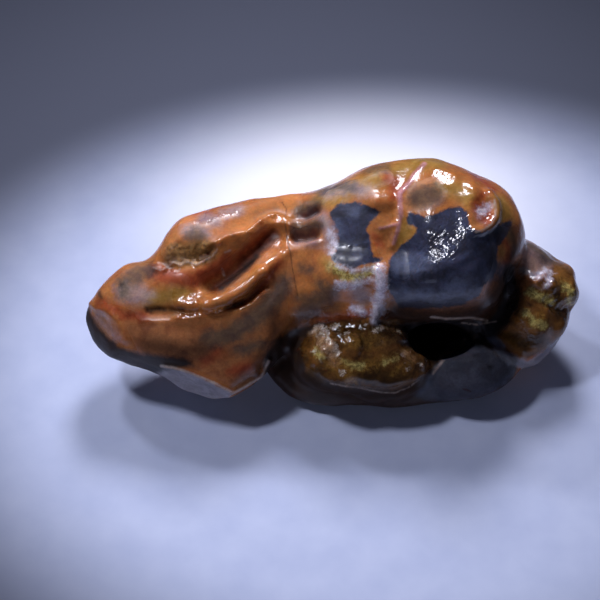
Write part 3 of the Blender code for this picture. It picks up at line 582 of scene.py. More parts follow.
# pale grey on the down-facing facets under the leaf's thin edge and under the end lump, partly a
# painted reflection of the pale cloth
KINDS["pale_grey_and_painted_reflection"] = [
    (FRONT, 0, [(-18.2, -2.6), (-16.5, -2.6), (-15.4, -2.6), (-14, -3.1), (-12.5, -3.8),
     (-11.2, -4.4), (-9.7, -5.3), (-10.3, -6), (-12.2, -6), (-14.1, -5.4), (-15.8, -4.6),
     (-17.3, -3.5)]),
    (FRONT, 0, [(18, -2.7), (19.3, -2.1), (21.1, -0.7), (22.4, 0.2), (23.2, 0.8), (22.8, -0.7),
     (21.7, -2.1), (20.3, -3.1), (18.8, -3.5)]),
    (FRONT, 0.45, [(15.9, -1.1), (17.2, -2.1), (19, -2.7)]),
    (FRONT, 0.4, [(14, 1.2), (15.2, 0.2), (16.3, -0.9)]),
    (BACK, 0, [(-12, -2.4), (-6, -2), (-4, -4.6), (-9, -6.4)]),
]
KINDS["crust"] = [
    (FRONT, 0.6, [(-15.6, 7.6), (-14.3, 7.7), (-12.9, 7.7), (-11.8, 8.2)]),
    (FRONT, 0.4, [(-15.8, 8.4), (-14.8, 8.8)]),
    (FRONT, 0.8, [(-15, 8), (-13.7, 8.2), (-12.4, 8.4)]),
    (FRONT, 0.55, [(-1.2, -0.1), (-0.6, -1), (-0.1, -2)]),
    (FRONT, 0.3, [(-2.1, 0.3), (-1.6, 0.7)]),
    (FRONT, 0.3, [(4.9, 1.4), (6.2, 1.2)]),
    (FRONT, 0.3, [(6.6, -1.2), (7.3, -1.8)]),
    (BACK, 0.7, [(9.8, 6.6), (12.4, 5.2), (15.2, 6)]),
]
# dark red, partly the stone's own colour, deepened into painted shade in the gully, the two slots and
# the crusty pit
KINDS["gully"] = [
    (FRONT, 0.55, [(-11.4, 4.8), (-10.2, 5.7), (-8.9, 6.9), (-7.7, 8.1), (-6.6, 9.2), (-5.8, 10)]),
    (FRONT, 0.35, [(-2.9, 11.7), (-2.2, 12), (-1.7, 12.3)]),
    (FRONT, 0.45, [(-3.5, 9.9), (-2.7, 9.8), (-1.9, 10.1)]),
    (FRONT, 0.25, [(-9.7, 3.2), (-8.6, 3.5), (-7.4, 4.4), (-6.7, 5.4)]),
    (FRONT, 0.2, [(-12.6, 7.8), (-12, 8.1), (-11.4, 8.7)]),
    (FRONT, 0.15, [(-15.8, 7.1), (-15.2, 7.5)]),
]
# near black at the snout's lower edge, and painted shade: black inside the hollow's well, down the
# cleft by the end lump, in the thin groove and at the gully's foot
KINDS["near_black_and_painted_shade"] = [
    (FRONT, 0, [(-24.6, 3.9), (-23.8, 3.5), (-23.5, 2.5), (-22.7, 1.3), (-21.6, 0.1),
     (-20.2, -0.8), (-18.5, -1.4), (-16.7, -1.5), (-15, -1.7), (-13.7, -1.9), (-13.3, -2.5),
     (-14.4, -2.8), (-16.2, -2.9), (-17.7, -3.8), (-20.2, -3.4), (-22.5, -2.3), (-24.1, -0.7),
     (-24.8, 1.4)]),
    (WELL, 0, [(6.5, 1.2), (8.7, 1.7), (11.6, 1.9), (13.4, 1.6), (14.2, 0.6), (13.4, 0),
     (11.7, -0.4), (10.8, -1.4), (9.9, -2.4), (9, -1.7), (7.9, -0.9), (6.9, -0.7)]),
    (FRONT, 0.8, [(16.7, 6.4), (17.2, 4.9), (17.1, 3.5), (16.4, 2), (15.4, 0.8)]),
    (FRONT, 0.5, [(13.8, 1.2), (14.6, 0.4), (14, -0.3)]),
    (FRONT, 0.22, [(-17.7, 2.8), (-16.8, 2.9), (-16, 2.8)]),
    (FRONT, 0.2, [(-15.6, 2.8), (-14.3, 2.8)]),
    (FRONT, 0.15, [(-10.1, 3), (-8.8, 3.4)]),
    (FRONT, 0.14, [(-20.4, 5.2), (-20.2, 5.1)]),
    (FRONT, 0.16, [(-22.6, 4.4), (-22.3, 4)]),
    (FRONT, 0.3, [(-10.7, 4.8), (-9.7, 5.6), (-8.6, 6.6), (-7.4, 7.8)]),
    (FRONT, 0.14, [(14.9, -2.7), (15.1, -2.7)]),
    (FRONT, 0.12, [(13.5, -1.6), (13.7, -1.6)]),
]
# pale lines along crisp rims, partly painted highlights: the front lump's bottom rim, the leaf's thin
# edge, the heel's top edge, the ledge, the dome's brim and the dish's rim
KINDS["edge"] = [
    (FRONT, 0.03, [(-0.4, -4.2), (1.1, -4.5), (2.6, -4.7), (4.3, -5.1), (5.8, -5.2), (7, -4.7),
     (8.1, -3.9)]),
    (FRONT, 0.12, [(-16.5, -2.6), (-15.4, -2.7), (-14, -3.1), (-12.5, -3.7), (-11.2, -4.3),
     (-9.6, -5.2), (-8.4, -4.5), (-7, -3.7), (-6.3, -2.2)]),
    (FRONT, 0.1, [(9.5, -3.4), (10.4, -2.2), (11.6, -0.9), (13.1, -0.2)]),
    (FRONT, 0.05, [(-17.2, 6.8), (-16.5, 6.5), (-15.8, 6.8), (-15.3, 7.3), (-14.6, 6.9),
     (-13.9, 7.3), (-13.1, 7), (-12.4, 7.4), (-11.6, 7.8), (-11.1, 8.5)]),
    (FRONT, 0.08, [(9.2, 2.1), (10.7, 1.9), (13.1, 2), (15, 1.7)]),
    (FRONT, 0.05, [(12.3, 1.5), (14, 1.3), (15.9, 1.6)]),
    (FRONT, 0.09, [(15, 13.1), (15.1, 12.3), (15, 11.6), (14.6, 10.8), (13.8, 10.2), (13, 10)]),
    (FRONT, 0.06, [(-10.7, 6.7), (-10.5, 6)]),
    (FRONT, 0.06, [(-10.4, 8.2), (-9.9, 8.4)]),
]
KINDS["vein"] = [
    (FRONT, 0.22, [(8.6, 16.7), (7.6, 15.6), (6.9, 14.6), (6.2, 13.9), (6.1, 13.1), (6.2, 11.6)]),
    (FRONT, 0.16, [(6.2, 11.6), (5.9, 10.3), (5.5, 9)]),
    (FRONT, 0.12, [(4.2, 10.4), (5, 10.6), (5.7, 10.8)]),
    (BACK, 0.2, [(6.8, 14.4), (6, 10.4), (7, 5.6), (8.6, 3.2)]),
]
KINDS["crack"] = [
    (FRONT, 0.06, [(-5, 13.1), (-4.6, 12.5), (-4.7, 11), (-4.5, 9.5), (-4.2, 8.2), (-4, 6.7),
     (-3.8, 5.6), (-3.5, 4.1)]),
    (FRONT, 0.09, [(12.4, -4.8), (13.1, -5.1)]),
]
KINDS["glitter"] = [
    (FRONT, 0, [(7.8, 9), (8.9, 10.1), (10.6, 11), (11.9, 12.5), (12.7, 11.2), (12.3, 9.3),
     (11, 7.6), (8.9, 6.9), (7.6, 7.3)]),
    (FRONT, 0, [(12.5, 12.3), (13.5, 12.9), (14.6, 12.5), (14.8, 11), (13.8, 10.5), (12.7, 10.8)]),
    (FRONT, 0.9, [(0.1, 5.2), (1.6, 5.2), (3.5, 5.8), (4.2, 4.6), (4.1, 2.2)]),
    (FRONT, 1.1, [(-14.5, 2.9), (-13.3, 3.5), (-12.2, 4.4)]),
    (FRONT, 0.5, [(-15, 2.1), (-12.3, 2.3), (-9, 2.8), (-6.9, 4.3)]),
    (FRONT, 0, [(-2.9, -0.5), (-1.4, 1), (1.5, 1.6), (6.6, 1.4), (9.2, -1.6), (8.5, -3.1),
     (4.3, -2.8), (0.5, -3.1), (-2.1, -3.3)]),
    (FRONT, 0, [(16.8, 5.2), (19, 6.8), (21.9, 6.4), (23.6, 5.2), (23.2, 1.8), (19.9, -1.1),
     (17.2, -1.1)]),
    (FRONT, 0.7, [(-13.7, 11.1), (-11.3, 11.7), (-9.2, 12.4)]),
    (BACK, 2.0, [(10, 11), (14, 8)]),
]
KINDS["brushed"] = [
    (FRONT, 0.8, [(9.7, 15.7), (10.6, 15.2)]),
    (FRONT, 0, [(6.9, 7.8), (7.6, 9.2), (8.8, 10.1), (10.4, 11.4), (11.8, 12.7), (13.1, 12),
     (13.6, 9.7), (12.5, 7.6), (11.4, 6.7), (9.9, 5.6), (7.2, 5.3), (6.1, 6.1)]),
    (BACK, 2.0, [(10, 11), (14, 8)]),
]
KINDS["dull"] = [
    (FRONT, 0.6, [(-2.7, -3.5), (-1.2, -4.7), (0.9, -5.2), (3.4, -5.5), (5.8, -5.4), (7.5, -4.7)]),
    (FRONT, 0, [(9.2, -4), (11.1, -1.3), (14, -0.5), (16.9, -2.1), (17.7, -4.4), (15.9, -5.9),
     (10.2, -6.5)]),
    (FRONT, 0, [(-1.4, 12.5), (-0.5, 14), (1.6, 14.8), (3.1, 15.2), (3.5, 14), (4.1, 12.5),
     (3.7, 10.7), (3.5, 9.3), (1.4, 9.1), (-0.3, 9.2)]),
    (FRONT, 0, [(6.1, 12.7), (7.2, 14.4), (9.3, 15.2), (10.4, 14), (9.9, 12.7), (8.4, 12.3),
     (6.9, 12.1)]),
    (FRONT, 0.7, [(4.4, 11.8), (4.6, 9.3), (5.2, 7.3)]),
    (FRONT, 0.6, [(3.3, 14.8), (4.8, 15.4)]),
    (FRONT, 0.3, [(0.3, 8.2), (1.6, 8), (2.9, 8.1)]),
    (FRONT, 0.22, [(0.3, 7.3), (1.6, 7.1), (2.9, 7.3)]),
    (FRONT, 0.5, [(6.1, 7.8), (6.3, 6.3)]),
    (FRONT, 0.5, [(-17.1, 6.1), (-15.8, 5.7), (-14.3, 5.4)]),
    (FRONT, 0.7, [(-12.2, 5.2), (-10.7, 6), (-9.3, 7.1), (-8, 8.4), (-6.9, 9.6)]),
    (FRONT, 0.5, [(-18.2, 2.5), (-15.4, 2.5)]),
    (FRONT, 0, [(-15.4, 8.4), (-15, 10.1), (-13.5, 10.9), (-12.2, 10.7), (-11.6, 9.8),
     (-11.4, 8.4), (-12.8, 7.9), (-14.3, 7.7)]),
    (FRONT, 0, [(-13.1, 10.1), (-12.3, 10.7), (-11.2, 11.4), (-9.3, 11.8), (-9, 12.6),
     (-6.9, 13.4), (-3.3, 14.3), (-3.3, 12.6), (-4.2, 11.9), (-5.4, 12.3), (-6.3, 12),
     (-7.3, 11.4), (-8.4, 10.4), (-9.7, 10), (-10.7, 9.8), (-11.6, 9.4)]),
    (FRONT, 0, [(-15.4, 10.5), (-14.1, 11.8), (-12.6, 12.6), (-12.6, 11.7), (-13.7, 11.1),
     (-14.6, 9.8), (-15.4, 8.4), (-16.3, 8.2)]),
    (FRONT, 0, [(-22.9, 3.5), (-21.4, 5.6), (-19.1, 7.2), (-16.7, 6.8), (-15.2, 6),
     (-15.6, 4.1), (-15.2, 2.5), (-17.7, 2.4), (-19.6, 3.1), (-21.4, 3.7)]),
    (FRONT, 0, [(-19.4, 1), (-14.6, 1.6), (-9.9, 2), (-6.3, 3.7), (-4.8, 5.2), (-4.6, 1.8),
     (-6.9, -2), (-9.9, -4.3), (-13.7, -2.6), (-18.4, -1)]),
    (FRONT, 0, [(-4, 8.8), (-0.5, 8.8), (-0.3, 3.7), (-3.3, 2.8), (-4.4, 5.6)]),
    (FRONT, 1.0, [(15.5, 9.5), (16.1, 7.3), (15.3, 4.6)]),
    (FRONT, 0.8, [(6.5, 2.6), (9.9, 2.2), (13.3, 2.6)]),
    (BACK, 3.0, [(-6, 9), (4, 8)]),
    (BACK, 3.0, [(10, 2), (16, 4)]),
]
KINDS["granules"] = [
    (FRONT, 0, [(-3.7, -1.2), (-2.7, 0.3), (-1.4, 1.2), (1, 1.4), (3.6, 1.6), (6.6, 1.2),
     (7.2, -0.5), (8.9, -1.6), (9.2, -2.9), (7.3, -2.8), (4.3, -1.8), (1.5, -2), (-0.4, -3.1),
     (-2.9, -2.8)]),
    (FRONT, 0, [(-1.8, 2.6), (0.5, 2.4), (4.3, 2.8), (6.2, 2.2), (6.2, 0.9), (2.4, 0.9),
     (-1.8, 0.7)]),
    (FRONT, 0, [(16.8, 5.2), (19, 6.8), (21.9, 6.4), (23.6, 5.2), (23.6, 3.1), (20.9, 2),
     (18, 1.6), (16.6, 2.7)]),
    (BACK, 1.2, [(9.6, 6.8), (12.4, 5.4), (15.4, 6.2)]),
]

# Front and back meet this far outward; the painted shade in the hollow's well goes on below it.
MIDDLE = 5.0
WELL_DEPTH = 3.5
FAR_OUTSIDE = -3.0


def inside(place, outline):
    """How far each point lies inside a closed outline, in mm; outside is negative."""
    within = np.zeros(len(place), dtype=bool)
    for (x0, u0), (x1, u1) in zip(outline, outline[1:] + outline[:1]):
        crosses = (u0 > place[:, 1]) != (u1 > place[:, 1])
        within ^= crosses & (place[:, 0] < x0 + (place[:, 1] - u0) / (u1 - u0 + TINY) * (x1 - x0))
    return to_path(place, outline + outline[:1]) * np.where(within, 1.0, -1.0)


def reach_of(mesh):
    """The points of a mesh, and how far each lies inside every kind of stone, in mm."""
    points = points_of(mesh)
    place = on_slope(points)
    depth = points @ OUTWARD - MIDDLE
    reach = {}
    for kind, rows in KINDS.items():
        reach[kind] = np.full(len(points), FAR_OUTSIDE)
        for side, half_width, path in rows:
            shape = inside(place, path) if half_width == 0 else half_width - to_path(place, path)
            limit = depth + WELL_DEPTH if side == WELL else side * depth
            reach[kind] = np.maximum(reach[kind], np.minimum(shape, limit))
    return points, reach


points, reach = reach_of(pebble.data)

# ======================================== the worn skin
# Sand has left the whole pebble with a faint orange-peel skin, and the crusts and the honey lumps are
# grainy with small crystals. Clouds of two sizes push the surface in and out, each where it belongs.

GRAIN_EDGE = (-0.3, 0.5)
STEPS = 10
for name, kinds, size, strength in (
    ("swell", None, 2.2, 0.16),
    ("peel", None, 0.8, 0.05),
    ("granules", ("granules", "crust", "white_crystals_and_painted_glints"), 0.75, 0.4),
    ("crystals", ("crust", "white_crystals_and_painted_glints"), 0.4, 0.3),
):
    clouds = bpy.data.textures.new(name, "CLOUDS")
    clouds.noise_scale = size * MM
    clouds.noise_depth = 2
    group = pebble.vertex_groups.new(name=name)
    if kinds is None:
        weights = np.ones(len(points))
    else:
        weights = np.max([smoothstep(reach[kind], *GRAIN_EDGE) for kind in kinds], axis=0)
    for step in range(1, STEPS + 1):
        members = np.nonzero(np.round(weights * STEPS) == step)[0].tolist()
        if members:
            group.add(members, step / STEPS, "REPLACE")
    apply(pebble, "DISPLACE", texture=clouds, texture_coords="LOCAL", vertex_group=name,
          direction="NORMAL", mid_level=0.5, strength=strength * MM)
pebble.vertex_groups.clear()

# The net is let out where the surface is flat, kept inside the stone's box, and every point that is
# left gets its kinds of stone.
KEPT = 0.55
CLEAR = 0.01
apply(pebble, "DECIMATE", ratio=KEPT)
low, high = np.array(cad_box) / MM
put_points(pebble.data, np.clip(points_of(pebble.data), low + CLEAR, high - CLEAR))
points, reach = reach_of(pebble.data)
for kind, depth_inside in reach.items():
    layer = pebble.data.attributes.new(kind, "FLOAT", "POINT")
    layer.data.foreach_set("value", depth_inside.astype(np.float32))

# ======================================== the stone itself
# Wind-polished chalcedony: a waxy, slightly translucent stone that blown sand has polished to a wet
# shine. Iron stains it from orange to rust, and the slate patches are clearer stone with a dark heart.
# Its colour also holds painted light: painted shade in the hollows and under overhangs, painted
# reflections of the cloth underneath, and painted glints on rims and crests.


def linear(hex_colour):
    """An sRGB hex colour as linear red, green, blue and a full alpha."""
    parts = [int(hex_colour[i:i + 2], 16) / 255.0 for i in (1, 3, 5)]
    return [c / 12.92 if c <= 0.04045 else ((c + 0.055) / 1.055) ** 2.4 for c in parts] + [1.0]


agate = bpy.data.materials.new("wind_polished_chalcedony")
agate.use_nodes = True
tree = agate.node_tree
tree.nodes.clear()


def add(kind, inputs=None, **settings):
    """One node with its settings; each input is a value or the socket it is linked from.

    A map range turns 1 to 2 into 3 to 4; a mix takes its share at 0, its two sides at 2, 3 or 6, 7.
    """
    node = tree.nodes.new(kind)
    for name, value in settings.items():
        setattr(node, name, value)
    for name, value in (inputs or {}).items():
        if isinstance(value, bpy.types.NodeSocket):
            tree.links.new(value, node.inputs[name])
        else:
            node.inputs[name].default_value = value
    return node


place_in_stone = add("ShaderNodeTexCoord").outputs["Object"]

# Every noise scale is 1 / the size of the spots it draws, which is given in mm.
CLOUD, BLOTCH, RAGGED, GRIT = 4.2, 1.6, 0.7, 0.25
drift = add("ShaderNodeTexNoise", {"Vector": place_in_stone, "Scale": 1 / (CLOUD * MM), "Detail": 4.0,
            "Roughness": 0.55, "Distortion": 0.4}).outputs["Fac"]
mottle = add("ShaderNodeTexNoise", {"Vector": place_in_stone, "Scale": 1 / (BLOTCH * MM), "Detail": 5.0,
             "Roughness": 0.6, "Distortion": 0.6}).outputs["Fac"]
ragged = add("ShaderNodeTexNoise", {"Vector": place_in_stone, "Scale": 1 / (RAGGED * MM), "Detail": 4.0,
             "Roughness": 0.65}).outputs["Fac"]
speck = add("ShaderNodeTexNoise", {"Vector": place_in_stone, "Scale": 1 / (GRIT * MM), "Detail": 2.0,
            "Roughness": 0.6}).outputs["Fac"]

# the carnelian ground: ochre brown drifting to rust, with dull olive clouds
ground = add("ShaderNodeValToRGB", {"Fac": drift})
ramp = ground.color_ramp
for position, colour in ((0.30, "#625238"), (0.40, "#806038"), (0.48, "#8E653C"), (0.56, "#9A683E"),
                         (0.64, "#94684A"), (0.74, "#887464")):
    stop = ramp.elements.new(position)
    stop.color = linear(colour)
ramp.elements.remove(ramp.elements[0])
ramp.elements.remove(ramp.elements[-1])
cloudy = add("ShaderNodeMapRange", {"Value": mottle, 1: 0.42, 2: 0.66, 3: 0.0, 4: 0.6})
colour = add("ShaderNodeMix", {0: cloudy.outputs[0], 6: ground.outputs[0], 7: linear("#6A5038")},
             data_type="RGBA").outputs[2]
dappled = add("ShaderNodeMapRange", {"Value": ragged, 1: 0.5, 2: 0.66, 3: 0.0, 4: 0.2})
colour = add("ShaderNodeMix", {0: dappled.outputs[0], 6: colour, 7: linear("#90592F")},
             data_type="RGBA").outputs[2]
shine = add("ShaderNodeMapRange", {"Value": mottle, 1: 0.3, 2: 0.7, 3: 0.15, 4: 0.26}).outputs[0]

# the grainy kinds change tone from grain to grain, all others from cloud to cloud
GRAIN = 0.5
grains = add("ShaderNodeTexNoise", {"Vector": place_in_stone, "Scale": 1 / (GRAIN * MM), "Detail": 3.0,
             "Roughness": 0.7, "Distortion": 0.8}).outputs["Fac"]
GRAINY = ("straw", "yellow_and_painted_glints", "crust", "white_crystals_and_painted_glints", "lavender_white_and_painted_glints")
# (kind, colour, second colour, how ragged its border is, how soft, how much it covers, roughness)
LOOKS = [
    ("flame", "#D07838", "#B8622A", 1.0, 0.9, 0.9, 0.19),
    ("sienna", "#96603C", "#7C482C", 1.4, 0.9, 0.85, 0.24),
    ("ochre", "#9C7C40", "#846428", 1.4, 0.7, 0.8, 0.18),
    ("heather", "#A08C88", "#8A7A84", 1.4, 0.6, 0.75, 0.18),
    ("ember", "#9A4628", "#7E301C", 1.0, 0.5, 0.85, 0.18),
    # dull olive, partly painted shade in the slots and beside the waist
    ("olive", "#524A3E", "#423D3A", 1.6, 0.6, 0.78, 0.2),
    # dark brown with painted shade under the brim and in the recesses
    ("umber_and_painted_shade", "#4E3222", "#38241A", 1.2, 1.0, 0.85, 0.3),
    # painted shadow under the lumps
    ("painted_shadow_underneath", "#120C0A", "#1C120C", 0.8, 0.3, 0.96, 0.45),
    ("honey", "#744C22", "#422A12", 0.8, 0.3, 0.95, 0.12),
    ("treacle", "#422C10", "#2A1A08", 0.9, 0.5, 0.9, 0.12),
    ("straw", "#8A642A", "#4E3614", 1.8, 0.5, 0.75, 0.16),
    # yellow, partly painted glints
    ("yellow_and_painted_glints", "#C8B870", "#7C6C3C", 1.8, 0.35, 0.85, 0.14),
    ("slate", "#303A52", "#1E2634", 0.7, 0.14, 0.97, 0.15),
    # bluish haze, partly a painted sheen
    ("bluish_haze_and_painted_sheen", "#5A627C", "#505468", 1.4, 0.6, 0.65, 0.24),
    # lavender white, partly painted glints
    ("lavender_white_and_painted_glints", "#E6E0EE", "#B2AABC", 1.5, 0.4, 0.92, 0.2),
    # painted shade under the dome's brim, in the cleft and in the recess beside the leaf
    ("dark_painted_shade", "#1E1412", "#2A1C16", 1.2, 1.0, 0.9, 0.35),
    # white crystals, and painted glints on the small dots
    ("white_crystals_and_painted_glints", "#E2D8D0", "#8A7862", 1.8, 0.2, 0.9, 0.12),
    # dark grey, partly a painted reflection of the cloth
    ("dark_grey_and_painted_reflection", "#42434F", "#33343E", 0.6, 0.25, 0.95, 0.5),
    # pale grey, partly a painted reflection of the cloth
    ("pale_grey_and_painted_reflection", "#8A8C98", "#6E707C", 0.6, 0.25, 0.9, 0.35),
    ("crust", "#A07444", "#6E4E34", 1.4, 0.4, 0.85, 0.6),
    # dark red, deepened into painted shade in the gully and the slots
    ("gully", "#5A2012", "#38100A", 0.6, 0.45, 0.88, 0.6),
    # painted shade in the hollow, the cleft and the grooves; near black at the snout's edge
    ("near_black_and_painted_shade", "#0B0A0D", "#141012", 0.6, 0.35, 0.96, 0.5),
    # pale rims, partly painted highlights along them
    ("edge", "#B8A8A0", "#98867E", 0.2, 0.12, 0.75, 0.3),
    ("vein", "#BC8890", "#926264", 0.3, 0.16, 0.8, 0.18),
    ("crack", "#2A1008", "#3A1A0C", 0.05, 0.07, 0.7, 0.4),
]
for kind, first, second, border, softness, cover, roughness in LOOKS:
    inside_it = add("ShaderNodeAttribute", attribute_name=kind).outputs["Fac"]
    wander = add("ShaderNodeMath", {0: ragged, 1: -0.5}, operation="ADD").outputs[0]
    edge = add("ShaderNodeMath", {0: wander, 1: border, 2: inside_it}, operation="MULTIPLY_ADD")
    share = add("ShaderNodeMapRange", {"Value": edge.outputs[0], 1: -softness, 2: softness, 3: 0.0,
                4: cover}, interpolation_type="SMOOTHSTEP").outputs[0]
    tones = grains if kind in GRAINY else mottle
    blend = add("ShaderNodeMapRange", {"Value": tones, 1: 0.38, 2: 0.62}).outputs[0]
    own = add("ShaderNodeMix", {0: blend, 6: linear(first), 7: linear(second)},
              data_type="RGBA").outputs[2]
    colour = add("ShaderNodeMix", {0: share, 6: colour, 7: own}, data_type="RGBA").outputs[2]
    shine = add("ShaderNodeMix", {0: share, 2: shine, 3: roughness}, data_type="FLOAT").outputs[0]

# the glittering and the brushed places carry the brightest polish
BRIGHTEST, DULLEST = 0.155, 0.75
glitter = add("ShaderNodeAttribute", attribute_name="glitter").outputs["Fac"]
brushed = add("ShaderNodeAttribute", attribute_name="brushed").outputs["Fac"]
bright = add("ShaderNodeMath", {0: glitter, 1: brushed}, operation="MAXIMUM").outputs[0]
bright = add("ShaderNodeMapRange", {"Value": bright, 1: -0.4, 2: 0.4},
             interpolation_type="SMOOTHSTEP").outputs[0]
shine = add("ShaderNodeMix", {0: bright, 2: shine, 3: BRIGHTEST}, data_type="FLOAT").outputs[0]

# where the wind has not polished the skin, it is rough and reflects less
WET_LEVEL, DRY_LEVEL = 0.5, 0.12
dull = add("ShaderNodeAttribute", attribute_name="dull").outputs["Fac"]
dull = add("ShaderNodeMapRange", {"Value": dull, 1: -0.5, 2: 0.6},
           interpolation_type="SMOOTHSTEP").outputs[0]
shine = add("ShaderNodeMix", {0: dull, 2: shine, 3: DULLEST}, data_type="FLOAT").outputs[0]
wet = add("ShaderNodeMix", {0: dull, 2: WET_LEVEL, 3: DRY_LEVEL}, data_type="FLOAT").outputs[0]

# fine specks lighten and darken everything a little
flecks = add("ShaderNodeMapRange", {"Value": speck, 1: 0.35, 2: 0.65, 3: 0.91, 4: 1.09}).outputs[0]
colour = add("ShaderNodeMix", {0: 1.0, 6: colour, 7: flecks}, data_type="RGBA",
             blend_type="MULTIPLY").outputs[2]

# the polish: a fine peel everywhere, glitter where the stone is grainy, and long strokes on the dome,
# all drawn coarser than real wind polish, which is too fine to show
PEEL, STROKE, POLISH_DEPTH = 0.3, 0.3, 0.09
grainy = add("ShaderNodeMapRange", {"Value": glitter, 1: -0.6, 2: 0.6, 3: 0.24, 4: 0.7},
             interpolation_type="SMOOTHSTEP").outputs[0]
peel = add("ShaderNodeTexNoise", {"Vector": place_in_stone, "Scale": 1 / (PEEL * MM), "Detail": 1.0,
           "Roughness": 0.5}).outputs["Fac"]
height = add("ShaderNodeMath", {0: peel, 1: grainy}, operation="MULTIPLY").outputs[0]
STROKE_LINE = (0.69, 0.55, 0.46)
DRAWN_OUT = 0.85
along = add("ShaderNodeVectorMath", {0: place_in_stone, 1: STROKE_LINE},
            operation="DOT_PRODUCT").outputs["Value"]
lengthwise = add("ShaderNodeVectorMath", {0: STROKE_LINE, "Scale": along}, operation="SCALE").outputs[0]
drawn = add("ShaderNodeVectorMath", {0: lengthwise, 1: (-DRAWN_OUT,) * 3, 2: place_in_stone},
            operation="MULTIPLY_ADD").outputs[0]
strokes = add("ShaderNodeTexNoise", {"Vector": drawn, "Scale": 1 / (STROKE * MM), "Detail": 1.5,
              "Roughness": 0.5}).outputs["Fac"]
brushed = add("ShaderNodeMapRange", {"Value": brushed, 1: -0.5, 2: 0.8, 3: 0.0, 4: 0.85},
              interpolation_type="SMOOTHSTEP").outputs[0]
height = add("ShaderNodeMath", {0: strokes, 1: brushed, 2: height}, operation="MULTIPLY_ADD").outputs[0]
polish = add("ShaderNodeBump", {"Strength": 0.8, "Distance": POLISH_DEPTH * MM, "Height": height})

# chalcedony bends light by 1.54; red light goes about 1.2 mm into it, green and blue less far
body = add("ShaderNodeBsdfPrincipled", {
    "Base Color": colour, "Roughness": shine, "IOR": 1.54, "Specular IOR Level": wet,
    "Normal": polish.outputs[0], "Subsurface Weight": 0.3, "Subsurface Radius": (1.0, 0.45, 0.2),
    "Subsurface Scale": 0.0012})
add("ShaderNodeOutputMaterial", {"Surface": body.outputs[0]})

pebble.data.materials.clear()
pebble.data.materials.append(agate)
bpy.ops.object.shade_smooth()

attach(pebble, "root")
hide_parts("stone")

# ======================================== the table, the light and the camera
# A pale, faintly blue cloth lies under three small soft windows, at the back, at the left and between
# the two, with a broad dim one in front. The camera looks straight at the leaning face.

TABLE_SIZE = 3.0
bpy.ops.mesh.primitive_plane_add(size=TABLE_SIZE, location=(0.0, 0.0, 0.0))
table = bpy.context.object
table.name = "table"

# Brushed cotton cloth: matt, with soft clouds where the nap lies one way or the other. Light is painted
# into it: a painted pool of light just behind the pebble, and painted dimming to blue grey away from
# it.
NAP = 3.5
PAINTED_GLOW_CENTRE, PAINTED_GLOW_FROM, PAINTED_GLOW_TO = (0.003, 0.018, 0.0), 0.008, 0.03
PAINTED_POOL_CENTRE, PAINTED_POOL_FROM, PAINTED_POOL_TO = (0.005, -0.003, 0.0), 0.026, 0.044
WIDER = (0.8, 1.0, 1.0)
cloth = bpy.data.materials.new("pale_brushed_cloth")
cloth.use_nodes = True
tree = cloth.node_tree
tree.nodes.clear()
place_on_table = add("ShaderNodeTexCoord").outputs["Object"]
nap = add("ShaderNodeTexNoise", {"Vector": place_on_table, "Scale": 1 / (NAP * MM),
          "Detail": 5.0}).outputs["Fac"]
tone = add("ShaderNodeMix", {0: nap, 6: linear("#A8B2D2"), 7: linear("#C0C8E2")},
           data_type="RGBA").outputs[2]
# a painted pool of light on the cloth just behind the pebble
painted_glow = add("ShaderNodeVectorMath", {0: place_on_table, 1: PAINTED_GLOW_CENTRE},
           operation="DISTANCE").outputs["Value"]
painted_glow = add("ShaderNodeMapRange", {"Value": painted_glow, 1: PAINTED_GLOW_FROM, 2: PAINTED_GLOW_TO, 3: 0.85, 4: 0.0},
           interpolation_type="SMOOTHSTEP").outputs[0]
tone = add("ShaderNodeMix", {0: painted_glow, 6: tone, 7: linear("#F2F3FC")}, data_type="RGBA").outputs[2]
# painted dimming: the cloth is painted darker blue grey away from the pebble, as if the light fell off
oval = add("ShaderNodeVectorMath", {0: place_on_table, 1: WIDER}, operation="MULTIPLY").outputs[0]
distance_from_painted_pool = add("ShaderNodeVectorMath", {0: oval, 1: PAINTED_POOL_CENTRE}, operation="DISTANCE").outputs["Value"]
painted_dimming = add("ShaderNodeMapRange", {"Value": distance_from_painted_pool, 1: PAINTED_POOL_FROM, 2: PAINTED_POOL_TO, 3: 0.0, 4: 1.0},
          interpolation_type="SMOOTHSTEP").outputs[0]
tone = add("ShaderNodeMix", {0: painted_dimming, 6: tone, 7: linear("#444858")}, data_type="RGBA").outputs[2]
surface = add("ShaderNodeBsdfPrincipled", {"Base Color": tone, "Roughness": 0.9, "IOR": 1.45,
              "Sheen Weight": 0.2})
add("ShaderNodeOutputMaterial", {"Surface": surface.outputs[0]})
table.data.materials.append(cloth)

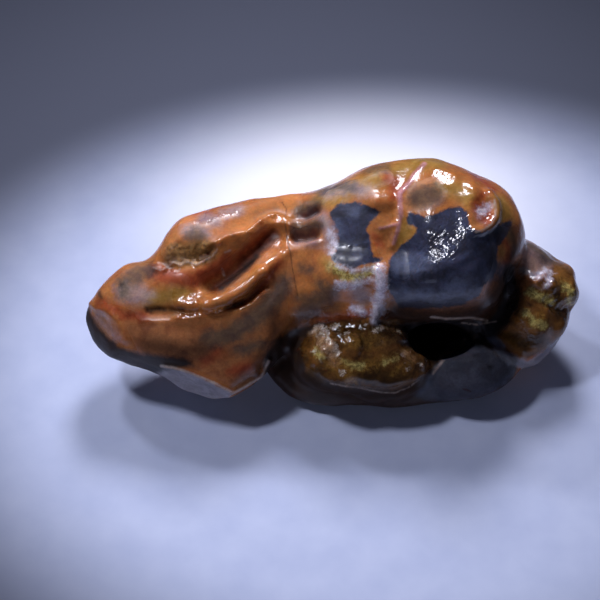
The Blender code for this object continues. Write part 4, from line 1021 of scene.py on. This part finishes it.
# All aim at one place on the leaning face: in mm across it, up its slope and outward.
ACROSS, UP, OUT = -3.28, 3.7, 7.34
AIM = (Vector((ACROSS, 0.0, 0.0)) + Vector(UP_SLOPE) * UP + Vector(OUTWARD) * OUT) * MM

# (name, azimuth from the front, elevation, distance, size, watts, spread, colour), in metres, each a
# soft square that looks at the pebble; the front one fills the shadows and is not mirrored
for name, azimuth, elevation, distance, size, power, spread, tint in (
    ("back_window", 174.0, 48.0, 0.16, 0.04, 0.032, 1.1, "#F4F4FF"),
    ("side_window", -95.0, 64.0, 0.20, 0.024, 0.030, 1.3, "#F0F2FF"),
    ("corner_window", -142.0, 46.0, 0.20, 0.022, 0.020, 1.3, "#F0F2FF"),
    ("front_window", -12.0, 8.0, 0.30, 0.16, 0.105, 2.4, "#F0F2FF"),
):
    around, above = math.radians(azimuth), math.radians(elevation)
    level = math.cos(above)
    where = Vector((math.sin(around) * level, -math.cos(around) * level, math.sin(above))) * distance
    bpy.ops.object.light_add(type="AREA", location=AIM + where)
    light = bpy.context.object
    light.name = name
    light.rotation_euler = (-where).to_track_quat("-Z", "Y").to_euler()
    light.data.shape = "SQUARE"
    light.data.size = size
    light.data.energy = power
    light.data.spread = spread
    light.data.color = linear(tint)[:3]
    light.visible_glossy = name != "front_window"

ROOM_LIGHT = 0.08
world = bpy.data.worlds.new("room")
bpy.context.scene.world = world
world.use_nodes = True
room = world.node_tree.nodes["Background"]
room.inputs[0].default_value = linear("#8E96C0")
room.inputs[1].default_value = ROOM_LIGHT

bpy.context.scene.view_settings.view_transform = "Standard"

CAMERA_DISTANCE = 0.163
camera = bpy.data.objects.new("camera", bpy.data.cameras.new("camera"))
bpy.context.scene.collection.objects.link(camera)
camera.data.lens = 100.0
camera.data.sensor_width = 36.0
camera.data.clip_start = 0.01
camera.location = AIM + Vector(OUTWARD) * CAMERA_DISTANCE
camera.rotation_euler = (-Vector(OUTWARD)).to_track_quat("-Z", "Y").to_euler()
bpy.context.scene.camera = camera
